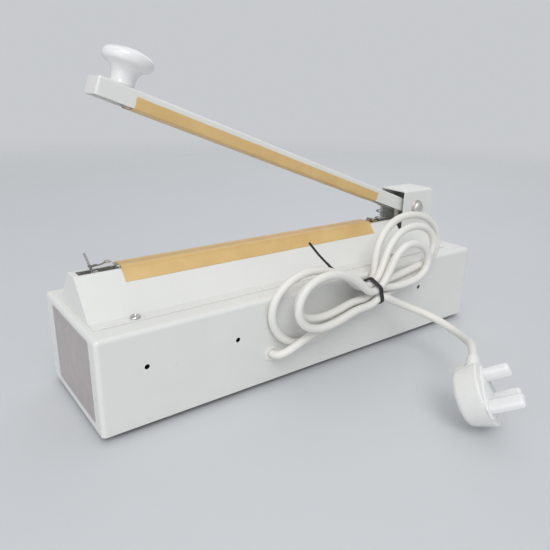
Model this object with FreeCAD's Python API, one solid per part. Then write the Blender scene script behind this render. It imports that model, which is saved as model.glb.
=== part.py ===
import FreeCAD
import Part
import math
import os

from FreeCAD import Vector

# Hand impulse sealer, in millimetres. +Z is up, +X is the knob end, -Y is the
# operator's side and the cord leaves the +Y side. Sizes are written about the
# middle of the base, and every solid is then moved along Y so that the origin is
# on the surface, under the middle of the whole machine.

# Base
box_length = 400.0
box_width = 112.6
box_height = 73.6
box_edge_radius = 3.5
sheet = 1.2
foot_height = 5.0
foot_radius = 8.0
foot_inset_x = 20.0
foot_inset_y = 14.3
plate_sheet = 1.5
plate_gap = 0.3
return_flange = 8.0
vent_radius = 2.0
vent_height = 45.2
vent_places = (164.6, 89.6, 20.6, -48.4, -122.2)

# Deck cover, the ridge that carries the lower jaw
ridge_height = 28.8
ridge_top_half = 6.8
ridge_foot_half = 31.0
ridge_knob_end = 194.4
ridge_hinge_end = -180.0
flange_half = 40.5
flange_corner_radius = 4.0
slot_half = 5.0
slot_knob_end = 190.0
deck_screw_places = (163.0, -103.0)
deck_screw_y = 36.3
bend_radius = 0.8

# Lower jaw
channel_sheet = 1.2
channel_depth = 6.0
channel_lip_gap = 0.6
channel_knob_end = 191.5
channel_hinge_end = -128.0
channel_post_places = (-70.0, 40.0, 150.0)
channel_post_length = 22.0
channel_post_half = 5.2
jaw_rise = 2.1
jaw_knob_end = 161.0
jaw_hinge_end = -100.5
jaw_head_half = 6.8
jaw_web_half = 4.6
strip_thickness = 0.4
strip_half = 3.6
element_thickness = 0.3
element_half = 1.3
tape_thickness = 0.3
tape_gap = 0.05
lower_tape_knob_end = 159.5
lower_tape_hinge_end = -98.0
lower_tape_half = 14.0

# Element tension at the two ends of the lower jaw
tension_pin_x = 176.0
tension_pin_rise = 2.75
tension_pin_radius = 1.0
tension_wire_radius = 0.7
tension_coil_turns = 4
tension_tip_x = 181.6
tension_tip_rise = 13.2
element_hump_x = 167.3
element_hump_rise = 5.2
crimp_length = 5.0
crimp_half = 1.9
crimp_height = 1.5
rear_post_x = -109.0
rear_post_length = 6.0
rear_post_half = 4.0
eyelet_radius = 2.9

# Hinge bracket
bracket_knob_end = -136.5
bracket_hinge_end = -182.5
bracket_half = 16.25
bracket_height = 58.9
bracket_sheet = 1.5
bracket_corner_radius = 6.0
bracket_fold_radius = 2.2
bracket_foot_half = 8.2
bracket_slit = 2.5
bracket_side_gap = 0.5
bracket_screw_places = (-173.0, -162.0)
bracket_screw_y = 11.4

# Arm
pivot_x = -156.0
pivot_rise = 40.2
pivot_radius = 3.0
running_gap = 0.05
part_gap = 0.3
arm_open_angle = 20.1
arm_sheet = 1.2
arm_half = 11.0
arm_reach = 344.0
arm_tail = 9.0
arm_top = 4.6
arm_height = 12.6
arm_edge_radius = 1.8
arm_bush_radius = 4.5
pad_start = 56.5
pad_end = 317.5
pad_half = 4.8
pad_proud = 0.65
pad_fold_radius = 1.2
carrier_sheet = 1.0
carrier_depth = 9.6
upper_tape_start = 57.0
upper_tape_end = 316.0
upper_tape_top = 0.1

# Knob, as radius and height above the arm
knob_place = 324.5
knob_foot_radius = 8.9
knob_neck_radius = 8.3
knob_neck_height = 3.6
knob_throat_radius = 10.0
knob_throat_height = 8.6
knob_flare_radius = 12.4
knob_flare_height = 12.4
knob_under_radius = 16.4
knob_under_height = 15.3
knob_rim_radius = 17.5
knob_rim_height = 17.6
knob_shoulder_radius = 16.6
knob_shoulder_height = 20.2
knob_height = 24.9
knob_screw_radius = 2.5
knob_screw_depth = 14.0

# Return spring between the deck and the arm
spring_place = 38.0
spring_radius = 3.6
spring_wire_radius = 0.6
spring_turns = 5.5
spring_seat_gap = 0.1
spring_top_gap = 1.5

# Switch under the arm
rod_x = -145.0
rod_radius = 2.5
guide_radius = 4.0
guide_flange_radius = 5.6
guide_flange = 1.5
guide_depth = 8.0
switch_length = 27.8
switch_half = 5.15
switch_height = 15.9
switch_top = 58.0
lever_thickness = 0.6
lever_half = 2.4
lever_reach = 20.0
lever_lift = 1.6
lever_pin_radius = 0.8
switch_plate_sheet = 1.2
switch_screw_radius = 1.5
switch_screw_rise = 3.2
switch_screw_inset = 2.8
switch_pin_inset = 2.5

# Transformer
core_x = -62.0
core_length = 60.0
core_height = 50.0
core_half = 12.5
core_limb = 10.0
core_lift = 0.5
bobbin_wall = 1.2
bobbin_half = 21.0
bobbin_gap = 0.3
strap_sheet = 1.5
strap_foot = 12.0

# Timer and lamp on the operator's side
timer_x = -130.0
timer_z = 41.0
control_radius = 8.5
control_depth = 7.5
control_bush_radius = 3.8
control_nut_radius = 6.2
control_nut = 2.2
shaft_radius = 3.0
board_sheet = 1.6
board_half_length = 27.0
board_half_height = 24.0
timer_knob_reach = 18.0
timer_knob_radius = 13.0
timer_skirt_radius = 16.0
timer_skirt = 3.0
timer_knob_flutes = 12
timer_flute_radius = 1.3
timer_knob_gap = 0.6
lamp_x = -88.0
lamp_radius = 5.0
lamp_bezel_radius = 7.0
lamp_bezel_depth = 1.5
terminal_ways = 3
terminal_pitch = 9.0
terminal_y = 14.0
terminal_width = 20.0
terminal_height = 13.0
terminal_bore = 1.8
earth_stud_x = 110.0
earth_stud_y = 20.0

# Fasteners
screw_radius = 2.0
screw_head_radius = 4.0
screw_head = 2.2
shank_sides = 6
head_sides = 10
nut_radius = 4.0
nut_height = 3.0
washer_radius = 8.0
washer_sheet = 1.2
bolt_head_radius = 6.5
bolt_head = 4.6

# Cord and plug
cord_radius = 3.4
cord_sides = 12
cord_exit_x = 58.0
cord_exit_z = 30.0
grommet_neck_radius = 5.5
grommet_flange_radius = 6.8
grommet_flange = 1.0
hank_thickness = 20.4
hank_y = 67.5
hank_lean = 14.0
hank_rim = 4.0
tie_place = Vector(-42.6, 69.5, 66.0)
tie_axis = Vector(1.0, 0.0, -0.3)
waist_radius = 11.0
waist_length = 34.0
tie_wire_radius = 0.8

# Plug, in a frame with x from the earth pin to the cord, y across and z along the pins
plug_place = Vector(-21.4, 204.8, 28.1)
plug_cord_way = Vector(-0.818, -0.554, 0.158)
plug_across = Vector(0.392, -0.336, 0.857)
plug_pin_way = Vector(-0.421, 0.762, 0.491)
plug_face_half = 24.2
plug_face_shoulder = 20.0
plug_earth_end = -7.5
plug_cord_end = 34.0
plug_cord_end_half = 17.0
plug_back_half = 21.2
plug_back_earth_end = -3.4
plug_depth = 20.0
plug_back_radius = 4.0
plug_face_radius = 1.2
plug_collar_radius = 5.0
plug_collar_y = 18.0
plug_collar_depth = 5.0
plug_collar_end = 37.0
earth_pin = (0.0, 0.0, 8.0, 4.0, 22.7)
live_pin = (22.2, -11.1, 4.0, 6.35, 17.7)
neutral_pin = (22.2, 11.1, 4.0, 6.35, 17.7)
pin_cover_wall = 1.5
pin_cover_plate = 1.5
pin_cover_gap = 0.2

# The cord's route outside the hank, chosen by hand
exit_route = [
    (58.0, 57.3, 30.0),
    (58.0, 61.5, 30.2),
    (55.6, 65.8, 31.6),
    (49.6, 68.3, 34.2),
    (42.0, 69.0, 37.4),
    (34.5, 69.0, 40.4),
]
lead_route = [
    (-47.0, 79.0, 64.2),
    (-65.0, 79.8, 54.0),
    (-82.0, 86.8, 46.2),
    (-92.3, 103.0, 40.2),
    (-91.8, 122.6, 36.5),
    (-82.0, 139.5, 38.5),
    (-56.4, 165.0, 49.6),
    (-42.5, 174.4, 46.9),
]
tie_tail_route = [
    (-33.0, 60.0, 77.0),
    (-16.0, 59.6, 84.0),
    (0.0, 59.5, 94.0),
    (12.0, 58.0, 106.0),
    (21.0, 56.0, 117.0),
]

# Values that follow from the sizes above
box_bottom = foot_height
box_top = box_bottom + box_height
rear_face = box_width / 2
front_face = -rear_face
origin_shift = timer_knob_reach / 2
ridge_top = box_top + ridge_height
channel_floor = ridge_top - channel_depth
jaw_top = ridge_top + jaw_rise
plate_bottom = box_bottom
plate_top = plate_bottom + plate_sheet
pivot_z = box_top + pivot_rise
arm_bottom = arm_top - arm_height
open_sin = math.sin(math.radians(arm_open_angle))
open_cos = math.cos(math.radians(arm_open_angle))


# Shapes used all over the machine

def block(x0, x1, y0, y1, z0, z1):
    return Part.makeBox(x1 - x0, y1 - y0, z1 - z0, Vector(x0, y0, z0))


def rod(start, direction, radius, length):
    return Part.makeCylinder(radius, length, start, direction)


def ring(start, direction, outer, inner, length):
    return rod(start, direction, outer, length).cut(rod(start, direction, inner, length))


def few_sided(start, direction, radius, length, sides):
    # Prism whose corners lie on the radius, for hidden shanks and holes
    corners = []
    for index in range(sides + 1):
        angle = 2 * math.pi * index / sides
        corners.append(Vector(radius * math.cos(angle), radius * math.sin(angle), 0))
    shape = Part.Face(Part.makePolygon(corners)).extrude(Vector(0, 0, length))
    shape.Placement = FreeCAD.Placement(start, FreeCAD.Rotation(Vector(0, 0, 1), direction))
    return shape


def clearance(start, direction, radius, length):
    # Hole for a hidden shank, clear of it all round
    reach = (radius + running_gap) / math.cos(math.pi / shank_sides)
    return few_sided(start, direction, reach, length, shank_sides)


def rounded_face(corners, place):
    # A closed outline from corners (u, v, radius), put in space by place(u, v)
    count = len(corners)
    edges = []
    joins = []
    for index in range(count):
        u, v, radius = corners[index]
        here = Vector(u, v, 0)
        before = Vector(corners[index - 1][0], corners[index - 1][1], 0)
        after = Vector(corners[(index + 1) % count][0], corners[(index + 1) % count][1], 0)
        if radius == 0:
            joins.append((here, None, here))
            continue
        back = (before - here).normalize()
        ahead = (after - here).normalize()
        half = back.getAngle(ahead) / 2
        bisector = (back + ahead).normalize()
        reach = radius / math.tan(half)
        centre = here + bisector * (radius / math.sin(half))
        joins.append((here + back * reach, centre - bisector * radius, here + ahead * reach))
    for index in range(count):
        start, middle, end = joins[index]
        following = joins[(index + 1) % count][0]
        if middle is not None:
            edges.append(Part.Arc(place(start), place(middle), place(end)).toShape())
        if (following - end).Length > 1e-6:
            edges.append(Part.LineSegment(place(end), place(following)).toShape())
    return Part.Face(Part.Wire(edges))


def along_x(corners, x0, x1):
    face = rounded_face(corners, lambda p: Vector(x0, p.x, p.y))
    return face.extrude(Vector(x1 - x0, 0, 0))


def along_y(corners, y0, y1):
    face = rounded_face(corners, lambda p: Vector(p.x, y0, p.y))
    return face.extrude(Vector(0, y1 - y0, 0))


def along_z(corners, z0, z1):
    face = rounded_face(corners, lambda p: Vector(p.x, p.y, z0))
    return face.extrude(Vector(0, 0, z1 - z0))


def folded_outline(path, thickness, bend):
    # Corners of a folded sheet's section: the path is one face, and the other
    # face lies a thickness to its right
    points = [Vector(u, v, 0) for u, v in path]
    count = len(points)
    near = []
    far = []
    for index in range(count):
        here = points[index]
        before = (here - points[index - 1]).normalize() if index > 0 else None
        after = (points[index + 1] - here).normalize() if index < count - 1 else None
        if before is None or after is None:
            run = after if before is None else before
            near.append((here.x, here.y, 0))
            far.append((here.x + run.y * thickness, here.y - run.x * thickness, 0))
            continue
        turn = before.x * after.y - before.y * after.x
        half = math.atan2(turn, before.dot(after)) / 2
        middle = Vector(before.x + after.x, before.y + after.y, 0).normalize()
        reach = thickness / math.cos(half)
        inner = bend
        outer = bend + thickness
        if bend == 0:
            outer = 0
        near.append((here.x, here.y, outer if turn < 0 else inner))
        far.append((here.x + middle.y * reach, here.y - middle.x * reach, inner if turn < 0 else outer))
    return near + far[::-1]


def rounded_cover(x0, x1, y0, y1, z0, z1, radius):
    # A block with its upright and top edges rounded, and its underside flat
    shape = block(x0, x1, y0, y1, z0, z1)
    edges = [edge for edge in shape.Edges if edge.CenterOfMass.z > z0 + radius]
    return shape.makeFillet(radius, edges)


def fillet_near(shape, places, radius):
    chosen = []
    for place in places:
        chosen.append(min(shape.Edges, key=lambda edge: (edge.CenterOfMass - place).Length))
    return shape.makeFillet(radius, chosen)


def revolved(edges, axis_start, axis_direction):
    face = Part.Face(Part.Wire(edges))
    return face.revolve(axis_start, axis_direction, 360)


def line(a, b):
    return Part.LineSegment(Vector(*a), Vector(*b)).toShape()


def arc(a, b, c):
    return Part.Arc(Vector(*a), Vector(*b), Vector(*c)).toShape()


def dome_arc(edge_radius, edge_height, top_height, place):
    # Arc from a rim in to the axis, level where it meets the axis
    rise = top_height - edge_height
    sphere = (edge_radius ** 2 + rise ** 2) / (2 * rise)
    angle = math.asin(edge_radius / sphere) / 2
    middle = (sphere * math.sin(angle), top_height - sphere * (1 - math.cos(angle)))
    points = [(edge_radius, edge_height), middle, (0.0, top_height)]
    return arc(*[place(radius, height) for radius, height in points])


def pan_screw(seat, direction, head_radius, head_height, shank_radius, shank_length):
    # Head on the side that the direction points to, and the shank behind the seat
    rim = head_height * 0.5
    shank = few_sided(seat - direction * shank_length, direction, shank_radius, shank_length, shank_sides)
    shape = few_sided(seat, direction, head_radius, rim, head_sides).fuse(shank)
    crown = few_sided(seat + direction * rim, direction, head_radius * 0.75, head_height - rim, head_sides)
    return shape.fuse(crown)


def hex_nut(seat, direction, radius, bore, height):
    corners = []
    for index in range(6):
        angle = math.radians(60 * index)
        corners.append((radius * math.cos(angle), radius * math.sin(angle), 0))
    shape = along_z(corners, 0, height).cut(clearance(Vector(0, 0, 0), Vector(0, 0, 1), bore, height))
    shape.Placement = FreeCAD.Placement(seat, FreeCAD.Rotation(Vector(0, 0, 1), direction))
    return shape


def opened(shape):
    # Swings a piece of the arm from level up to its rest position
    turned = shape.copy()
    turned.rotate(Vector(pivot_x, 0, pivot_z), Vector(0, 1, 0), -arm_open_angle)
    return turned


def on_arm(along, across, above):
    # A place on the level arm: along from the pivot, and above the pivot's axis
    return Vector(pivot_x + along, across, pivot_z + above)


# Base housing, plate and feet

def base_housing():
    half_length = box_length / 2
    shape = rounded_cover(-half_length, half_length, front_face, rear_face,
                          box_bottom, box_top, box_edge_radius)
    hollow = block(-half_length + sheet, half_length - sheet, front_face + sheet,
                   rear_face - sheet, box_bottom, box_top - sheet)
    inner_bend = box_edge_radius - sheet
    folds = [edge for edge in hollow.Edges if edge.CenterOfMass.z > box_bottom + inner_bend]
    shape = shape.cut(hollow.makeChamfer(inner_bend, folds))
    flange_end = half_length - box_edge_radius
    for side in (-1, 1):
        inner = side * (rear_face - sheet - return_flange)
        outer = side * (rear_face - sheet)
        shape = shape.fuse(block(-flange_end, flange_end, min(inner, outer), max(inner, outer),
                                 plate_top, plate_top + sheet))
    cuts = []
    for x in vent_places:
        cuts.append(rod(Vector(x, rear_face - sheet - 1, box_bottom + vent_height), Vector(0, 1, 0),
                        vent_radius, sheet + 2))
    cuts.append(rod(Vector(cord_exit_x, rear_face - sheet - 1, cord_exit_z), Vector(0, 1, 0),
                    grommet_neck_radius + running_gap, sheet + 2))
    cuts.append(rod(Vector(timer_x, front_face - 1, timer_z), Vector(0, 1, 0),
                    control_bush_radius + running_gap, sheet + 2))
    cuts.append(rod(Vector(lamp_x, front_face - 1, timer_z), Vector(0, 1, 0),
                    lamp_radius + running_gap, sheet + 2))
    cuts.append(rod(Vector(rod_x, 0, box_top - sheet - 1), Vector(0, 0, 1),
                    guide_radius + running_gap, sheet + 2))
    for place in top_screw_places():
        cuts.append(clearance(place - Vector(0, 0, sheet + 1), Vector(0, 0, 1), screw_radius, sheet + 2))
    for x, y in plate_screw_places():
        cuts.append(clearance(Vector(x, y, plate_top - 1), Vector(0, 0, 1), screw_radius, sheet + 2))
    return shape.cut(Part.makeCompound(cuts)).removeSplitter()


def top_screw_places():
    # Where screws go down through the base's top sheet
    places = []
    for side in (-1, 1):
        for x in deck_screw_places:
            places.append(Vector(x, side * deck_screw_y, box_top))
        for x in bracket_screw_places:
            places.append(Vector(x, side * bracket_screw_y, box_top))
    return places


def plate_screw_places():
    x = box_length / 2 - 2.6 * foot_inset_x
    y = rear_face - sheet - return_flange / 2
    return [(-x, -y), (-x, y), (x, -y), (x, y)]


def foot_places():
    x = box_length / 2 - foot_inset_x
    y = rear_face - foot_inset_y
    return [(-x, -y), (-x, y), (x, -y), (x, y)]


def bottom_plate():
    reach = box_length / 2 - sheet - plate_gap
    half = rear_face - sheet - plate_gap
    radius = 2 * (box_edge_radius - sheet)
    outline = [(-reach, -half, radius), (reach, -half, radius), (reach, half, radius), (-reach, half, radius)]
    shape = along_z(outline, plate_bottom, plate_top)
    holes = []
    for x, y in foot_places() + plate_screw_places() + strap_screw_places():
        holes.append(clearance(Vector(x, y, plate_bottom - 1), Vector(0, 0, 1), screw_radius,
                               plate_sheet + 2))
    return shape.cut(Part.makeCompound(holes))


def rubber_feet():
    feet = []
    recess = screw_head_radius + 0.6
    for x, y in foot_places():
        foot = Part.makeCone(foot_radius - 1, foot_radius, foot_height, Vector(x, y, 0))
        foot = foot.cut(rod(Vector(x, y, 0), Vector(0, 0, 1), recess, foot_height / 2))
        foot = foot.cut(clearance(Vector(x, y, 0), Vector(0, 0, 1), screw_radius, foot_height))
        feet.append(foot)
    return feet


def base_screws():
    screws = []
    for x, y in foot_places():
        seat = Vector(x, y, foot_height / 2)
        reach = foot_height / 2 + plate_sheet + nut_height + 1
        screws.append(pan_screw(seat, Vector(0, 0, -1), screw_head_radius, foot_height / 2 - 0.8,
                                screw_radius, reach))
        screws.append(hex_nut(Vector(x, y, plate_top), Vector(0, 0, 1), nut_radius,
                              screw_radius, nut_height))
    for x, y in plate_screw_places():
        screws.append(pan_screw(Vector(x, y, plate_bottom), Vector(0, 0, -1), screw_head_radius,
                                screw_head, screw_radius, plate_sheet + sheet + 3))
    return screws


# Deck cover

def ridge_half_at(z):
    # Half width of the ridge's outer slopes at a height
    share = (z - box_top - sheet) / (ridge_height - sheet)
    return ridge_foot_half + (ridge_top_half - ridge_foot_half) * share


def deck_cover():
    flange_top = box_top + sheet
    path = [
        (-flange_half, flange_top),
        (-ridge_foot_half, flange_top),
        (-ridge_top_half, ridge_top),
        (ridge_top_half, ridge_top),
        (ridge_foot_half, flange_top),
        (flange_half, flange_top),
    ]
    shape = along_x(folded_outline(path, sheet, bend_radius), ridge_hinge_end, ridge_knob_end)
    end_outline = [
        (-ridge_foot_half, box_top, 0),
        (-ridge_foot_half, flange_top, 0),
        (-ridge_top_half, ridge_top, bend_radius + sheet),
        (ridge_top_half, ridge_top, bend_radius + sheet),
        (ridge_foot_half, flange_top, 0),
        (ridge_foot_half, box_top, 0),
    ]
    shape = shape.fuse(along_x(end_outline, ridge_knob_end - sheet, ridge_knob_end))
    shape = shape.removeSplitter()
    corners = []
    for side in (-1, 1):
        for x in (ridge_hinge_end, ridge_knob_end):
            corners.append(Vector(x, side * flange_half, box_top + sheet / 2))
    shape = fillet_near(shape, corners, flange_corner_radius)
    notch_end = bracket_knob_end + bracket_slit
    notch_half = bracket_half + bracket_side_gap
    cuts = [
        block(ridge_hinge_end - 1, slot_knob_end, -slot_half, slot_half, channel_floor, ridge_top + 1),
        block(ridge_hinge_end - 1, notch_end, -notch_half, notch_half, box_top - 1, ridge_top + 1),
    ]
    for side in (-1, 1):
        for x in deck_screw_places:
            cuts.append(clearance(Vector(x, side * deck_screw_y, box_top - 1), Vector(0, 0, 1),
                                  screw_radius, sheet + 2))
    return shape.cut(Part.makeCompound(cuts))


def deck_screws():
    screws = []
    for side in (-1, 1):
        for x in deck_screw_places:
            screws.append(pan_screw(Vector(x, side * deck_screw_y, box_top + sheet), Vector(0, 0, 1),
                                    screw_head_radius, screw_head, screw_radius, 2 * sheet + 4))
    return screws


# Lower jaw

def jaw_channel():
    outer = slot_half + channel_sheet
    top = ridge_top - sheet - channel_lip_gap
    bottom = channel_floor - channel_sheet
    path = [(-outer, top), (-outer, bottom), (outer, bottom), (outer, top)]
    outline = folded_outline([(y, z) for y, z in reversed(path)], channel_sheet, bend_radius)
    shape = along_x(outline, channel_hinge_end, channel_knob_end)
    pin_z = channel_floor + tension_pin_rise
    hole = rod(Vector(tension_pin_x, -outer - 1, pin_z), Vector(0, 1, 0),
               tension_pin_radius + running_gap, 2 * outer + 2)
    return shape.cut(hole)


def channel_posts():
    top = channel_floor - channel_sheet
    foot = channel_post_half + 7
    path = [
        (-foot, box_top + channel_sheet),
        (-channel_post_half, box_top + channel_sheet),
        (-channel_post_half, top),
        (channel_post_half, top),
        (channel_post_half, box_top + channel_sheet),
        (foot, box_top + channel_sheet),
    ]
    outline = folded_outline(path, channel_sheet, 0)
    half = channel_post_length / 2
    return [along_x(outline, x - half, x + half) for x in channel_post_places]


def jaw_bar():
    head_top = jaw_top - tape_thickness - element_thickness - strip_thickness
    outline = [
        (-jaw_web_half, channel_floor, 0.5),
        (jaw_web_half, channel_floor, 0.5),
        (jaw_web_half, ridge_top, 0),
        (jaw_head_half, ridge_top, 0),
        (jaw_head_half, head_top, 0.5),
        (-jaw_head_half, head_top, 0.5),
        (-jaw_head_half, ridge_top, 0),
        (-jaw_web_half, ridge_top, 0),
    ]
    return along_x(outline, jaw_hinge_end, jaw_knob_end)


def insulation_strip():
    bottom = jaw_top - tape_thickness - element_thickness - strip_thickness
    return block(jaw_hinge_end, jaw_knob_end, -strip_half, strip_half, bottom, bottom + strip_thickness)


def heating_element():
    # Flat ribbon over the bar, lifted into a small hump at each end
    top = jaw_top - tape_thickness
    hump_top = ridge_top + element_hump_rise
    tip_run = tension_tip_x - tension_pin_x
    share = (hump_top - 1.6 - channel_floor - tension_pin_rise) / (
        ridge_top + tension_tip_rise - channel_floor - tension_pin_rise)
    anchor_x = tension_pin_x + tip_run * share - tension_wire_radius - 0.2
    hump_start = element_hump_x - crimp_length / 2
    hump_end = element_hump_x + crimp_length / 2
    rear_top = ridge_top + 1.8
    path = [
        (rear_post_x, rear_top),
        (rear_post_x + rear_post_length / 2, rear_top),
        (jaw_hinge_end - 2.2, hump_top - 0.4),
        (jaw_hinge_end - 0.6, top),
        (jaw_knob_end + 0.6, top),
        (hump_start, hump_top),
        (hump_end, hump_top),
        (hump_end + 1.8, hump_top - 1.6),
        (anchor_x, hump_top - 1.6),
    ]
    outline = folded_outline(path, element_thickness, 0)
    shape = along_y(outline, -element_half, element_half)
    eyelet = few_sided(Vector(rear_post_x, 0, rear_top - element_thickness), Vector(0, 0, 1),
                       eyelet_radius, element_thickness, head_sides)
    hole = clearance(Vector(rear_post_x, 0, rear_top - 1), Vector(0, 0, 1), knob_screw_radius / 2, 2)
    return shape.fuse(eyelet).cut(hole).removeSplitter()


def element_crimp():
    # Sleeve pressed round the ribbon at the knob end
    hump_top = ridge_top + element_hump_rise
    half = crimp_length / 2 - 0.6
    middle = hump_top - element_thickness / 2
    shape = block(element_hump_x - half, element_hump_x + half, -crimp_half, crimp_half,
                  middle - crimp_height / 2, middle + crimp_height / 2)
    shape = shape.makeFillet(0.4, [edge for edge in shape.Edges if abs(edge.tangentAt(0).x) > 0.9])
    gap = running_gap
    return shape.cut(block(element_hump_x - half - 1, element_hump_x + half + 1,
                           -element_half - gap, element_half + gap,
                           hump_top - element_thickness - gap, hump_top + gap))


def slope_point(y, lift):
    # A point a lift off the ridge's slope
    run = ridge_foot_half - ridge_top_half
    rise = ridge_height - sheet
    length = math.hypot(run, rise)
    z = ridge_top - (abs(y) - ridge_top_half) * rise / run
    return (y + math.copysign(lift * rise / length, y), z + lift * run / length)


def lower_tape():
    # Draped over the bar's head and down both slopes
    def contour(lift):
        head = jaw_head_half + lift
        y_foot, z_foot = slope_point(lower_tape_half, lift)
        y_knee, z_knee = slope_point(jaw_head_half + 0.4, lift)
        top = jaw_top - tape_thickness + lift
        return [
            (-y_foot, z_foot, 0),
            (-y_knee - 0.4, z_knee, 0),
            (-head, top, 0),
            (head, top, 0),
            (y_knee + 0.4, z_knee, 0),
            (y_foot, z_foot, 0),
        ]
    outer = contour(tape_thickness)
    inner = contour(0.0)
    inner_lifted = []
    for index, (y, z, radius) in enumerate(contour(tape_gap)):
        inner_lifted.append(inner[index] if index in (2, 3) else (y, z, radius))
    outline = outer + inner_lifted[::-1]
    return along_x(outline, lower_tape_hinge_end, lower_tape_knob_end)


def tension_spring():
    # Closed coil on the pin, one leg up against the ribbon and one on the floor
    wire = tension_wire_radius
    coil = tension_pin_radius + running_gap + wire
    pin_z = channel_floor + tension_pin_rise
    width = tension_coil_turns * 2 * wire
    shape = ring(Vector(tension_pin_x, -width / 2, pin_z), Vector(0, 1, 0), coil + wire,
                 tension_pin_radius + running_gap, width)
    tip = Vector(tension_tip_x, 0, ridge_top + tension_tip_rise)
    side = Vector(tension_pin_x, 0, pin_z)
    run = tip - side
    along = Vector(run.x, 0, run.z).normalize()
    across = Vector(along.z, 0, -along.x)
    start = side + across * coil
    leg = rod(start, tip + across * coil - start, wire, (tip + across * coil - start).Length)
    floor_z = channel_floor + wire + 0.05
    drop = pin_z - floor_z
    foot_start = Vector(tension_pin_x - coil, width / 2 - wire, pin_z)
    foot = rod(foot_start, Vector(-0.5, 0, -drop), wire, math.hypot(0.5, drop))
    foot = foot.fuse(rod(Vector(tension_pin_x - coil - 6, width / 2 - wire, floor_z),
                         Vector(1, 0, 0), wire, 6))
    return shape.fuse(leg).fuse(foot)


def tension_pin():
    half = slot_half + channel_sheet
    pin_z = channel_floor + tension_pin_rise
    return rod(Vector(tension_pin_x, -half, pin_z), Vector(0, 1, 0), tension_pin_radius, 2 * half)


def rear_post():
    # Block that the ribbon's hinge end is screwed down to
    half = rear_post_length / 2
    top = ridge_top + 1.8 - element_thickness
    shape = block(rear_post_x - half, rear_post_x + half, -rear_post_half, rear_post_half,
                  channel_floor, top)
    shape = shape.makeFillet(0.6, [edge for edge in shape.Edges if edge.CenterOfMass.z > top - 0.1])
    return shape.cut(rod(Vector(rear_post_x, 0, channel_floor - 1), Vector(0, 0, 1),
                         knob_screw_radius / 2 + running_gap, 20))


def rear_post_screw():
    return pan_screw(Vector(rear_post_x, 0, ridge_top + 1.8), Vector(0, 0, 1), rear_post_half * 0.7,
                     1.6, knob_screw_radius / 2, 7)


# Hinge

def hinge_bracket():
    top = box_top + bracket_height
    outline = [
        (bracket_hinge_end, box_top, 0),
        (bracket_knob_end, box_top, 0),
        (bracket_knob_end, top, 0),
        (bracket_hinge_end, top, bracket_corner_radius),
    ]
    shape = along_y(outline, -bracket_half, bracket_half)
    folded = []
    for edge in shape.Edges:
        middle = edge.CenterOfMass
        on_side = abs(abs(middle.y) - bracket_half) < 0.01
        if on_side and middle.z > box_top + 1 and middle.x < bracket_knob_end - 1:
            folded.append(edge)
    shape = shape.makeFillet(bracket_fold_radius, folded)
    inner_half = bracket_half - bracket_sheet
    hollow_outline = [
        (bracket_hinge_end + bracket_sheet, box_top - 1, 0),
        (bracket_knob_end + 1, box_top - 1, 0),
        (bracket_knob_end + 1, top - bracket_sheet, 0),
        (bracket_hinge_end + bracket_sheet, top - bracket_sheet, bracket_corner_radius - bracket_sheet),
    ]
    shape = shape.cut(along_y(hollow_outline, -inner_half, inner_half))
    for side in (-1, 1):
        inner = side * bracket_foot_half
        outer = side * inner_half
        foot = block(bracket_hinge_end + 4, bracket_knob_end - 2, min(inner, outer), max(inner, outer),
                     box_top, box_top + bracket_sheet)
        shape = shape.fuse(foot)
    cuts = [rod(Vector(pivot_x, -bracket_half - 1, pivot_z), Vector(0, 1, 0),
                pivot_radius + running_gap, 2 * bracket_half + 2)]
    for x in bracket_screw_places:
        for side in (-1, 1):
            cuts.append(clearance(Vector(x, side * bracket_screw_y, box_top - 1), Vector(0, 0, 1),
                                  screw_radius, bracket_sheet + 2))
    return shape.cut(Part.makeCompound(cuts)).removeSplitter()


def bracket_screws():
    screws = []
    head = min(bracket_screw_y - bracket_foot_half, bracket_half - bracket_sheet - bracket_screw_y) - 0.2
    for x in bracket_screw_places:
        for side in (-1, 1):
            y = side * bracket_screw_y
            screws.append(pan_screw(Vector(x, y, box_top + bracket_sheet), Vector(0, 0, 1), head,
                                    screw_head, screw_radius, bracket_sheet + sheet + nut_height + 1))
            screws.append(hex_nut(Vector(x, y, box_top - sheet), Vector(0, 0, -1), nut_radius,
                                  screw_radius, nut_height))
    return screws


def pivot_bolt():
    # Domed head outside the rear cheek, shank through both cheeks
    seat = bracket_half + washer_sheet
    tail = -(bracket_half + washer_sheet + nut_height + 2)
    dome = bolt_head
    profile = [
        line((0, tail, 0), (pivot_radius, tail, 0)),
        line((pivot_radius, tail, 0), (pivot_radius, seat, 0)),
        line((pivot_radius, seat, 0), (bolt_head_radius, seat, 0)),
        line((bolt_head_radius, seat, 0), (bolt_head_radius, seat + 0.8, 0)),
        dome_arc(bolt_head_radius, seat + 0.8, seat + dome, lambda r, h: (r, h, 0)),
        line((0, seat + dome, 0), (0, tail, 0)),
    ]
    shape = revolved(profile, Vector(0, 0, 0), Vector(0, 1, 0))
    shape.translate(Vector(pivot_x, 0, pivot_z))
    return shape


def pivot_washers():
    washers = []
    for start in (bracket_half, -bracket_half - washer_sheet):
        washers.append(ring(Vector(pivot_x, start, pivot_z), Vector(0, 1, 0), washer_radius,
                            pivot_radius + running_gap, washer_sheet))
    return washers


def pivot_nut():
    return hex_nut(Vector(pivot_x, -bracket_half - washer_sheet, pivot_z), Vector(0, -1, 0),
                   nut_radius + 1.6, pivot_radius, nut_height + 1)


def pivot_spacers():
    # Nylon rings that centre the arm between the cheeks
    spacers = []
    start = arm_half + part_gap
    length = bracket_half - bracket_sheet - start
    for y in (start, -start - length):
        spacers.append(ring(Vector(pivot_x, y, pivot_z), Vector(0, 1, 0), arm_bush_radius,
                            pivot_radius + running_gap, length))
    return spacers


# Arm, built level and then swung up

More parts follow.
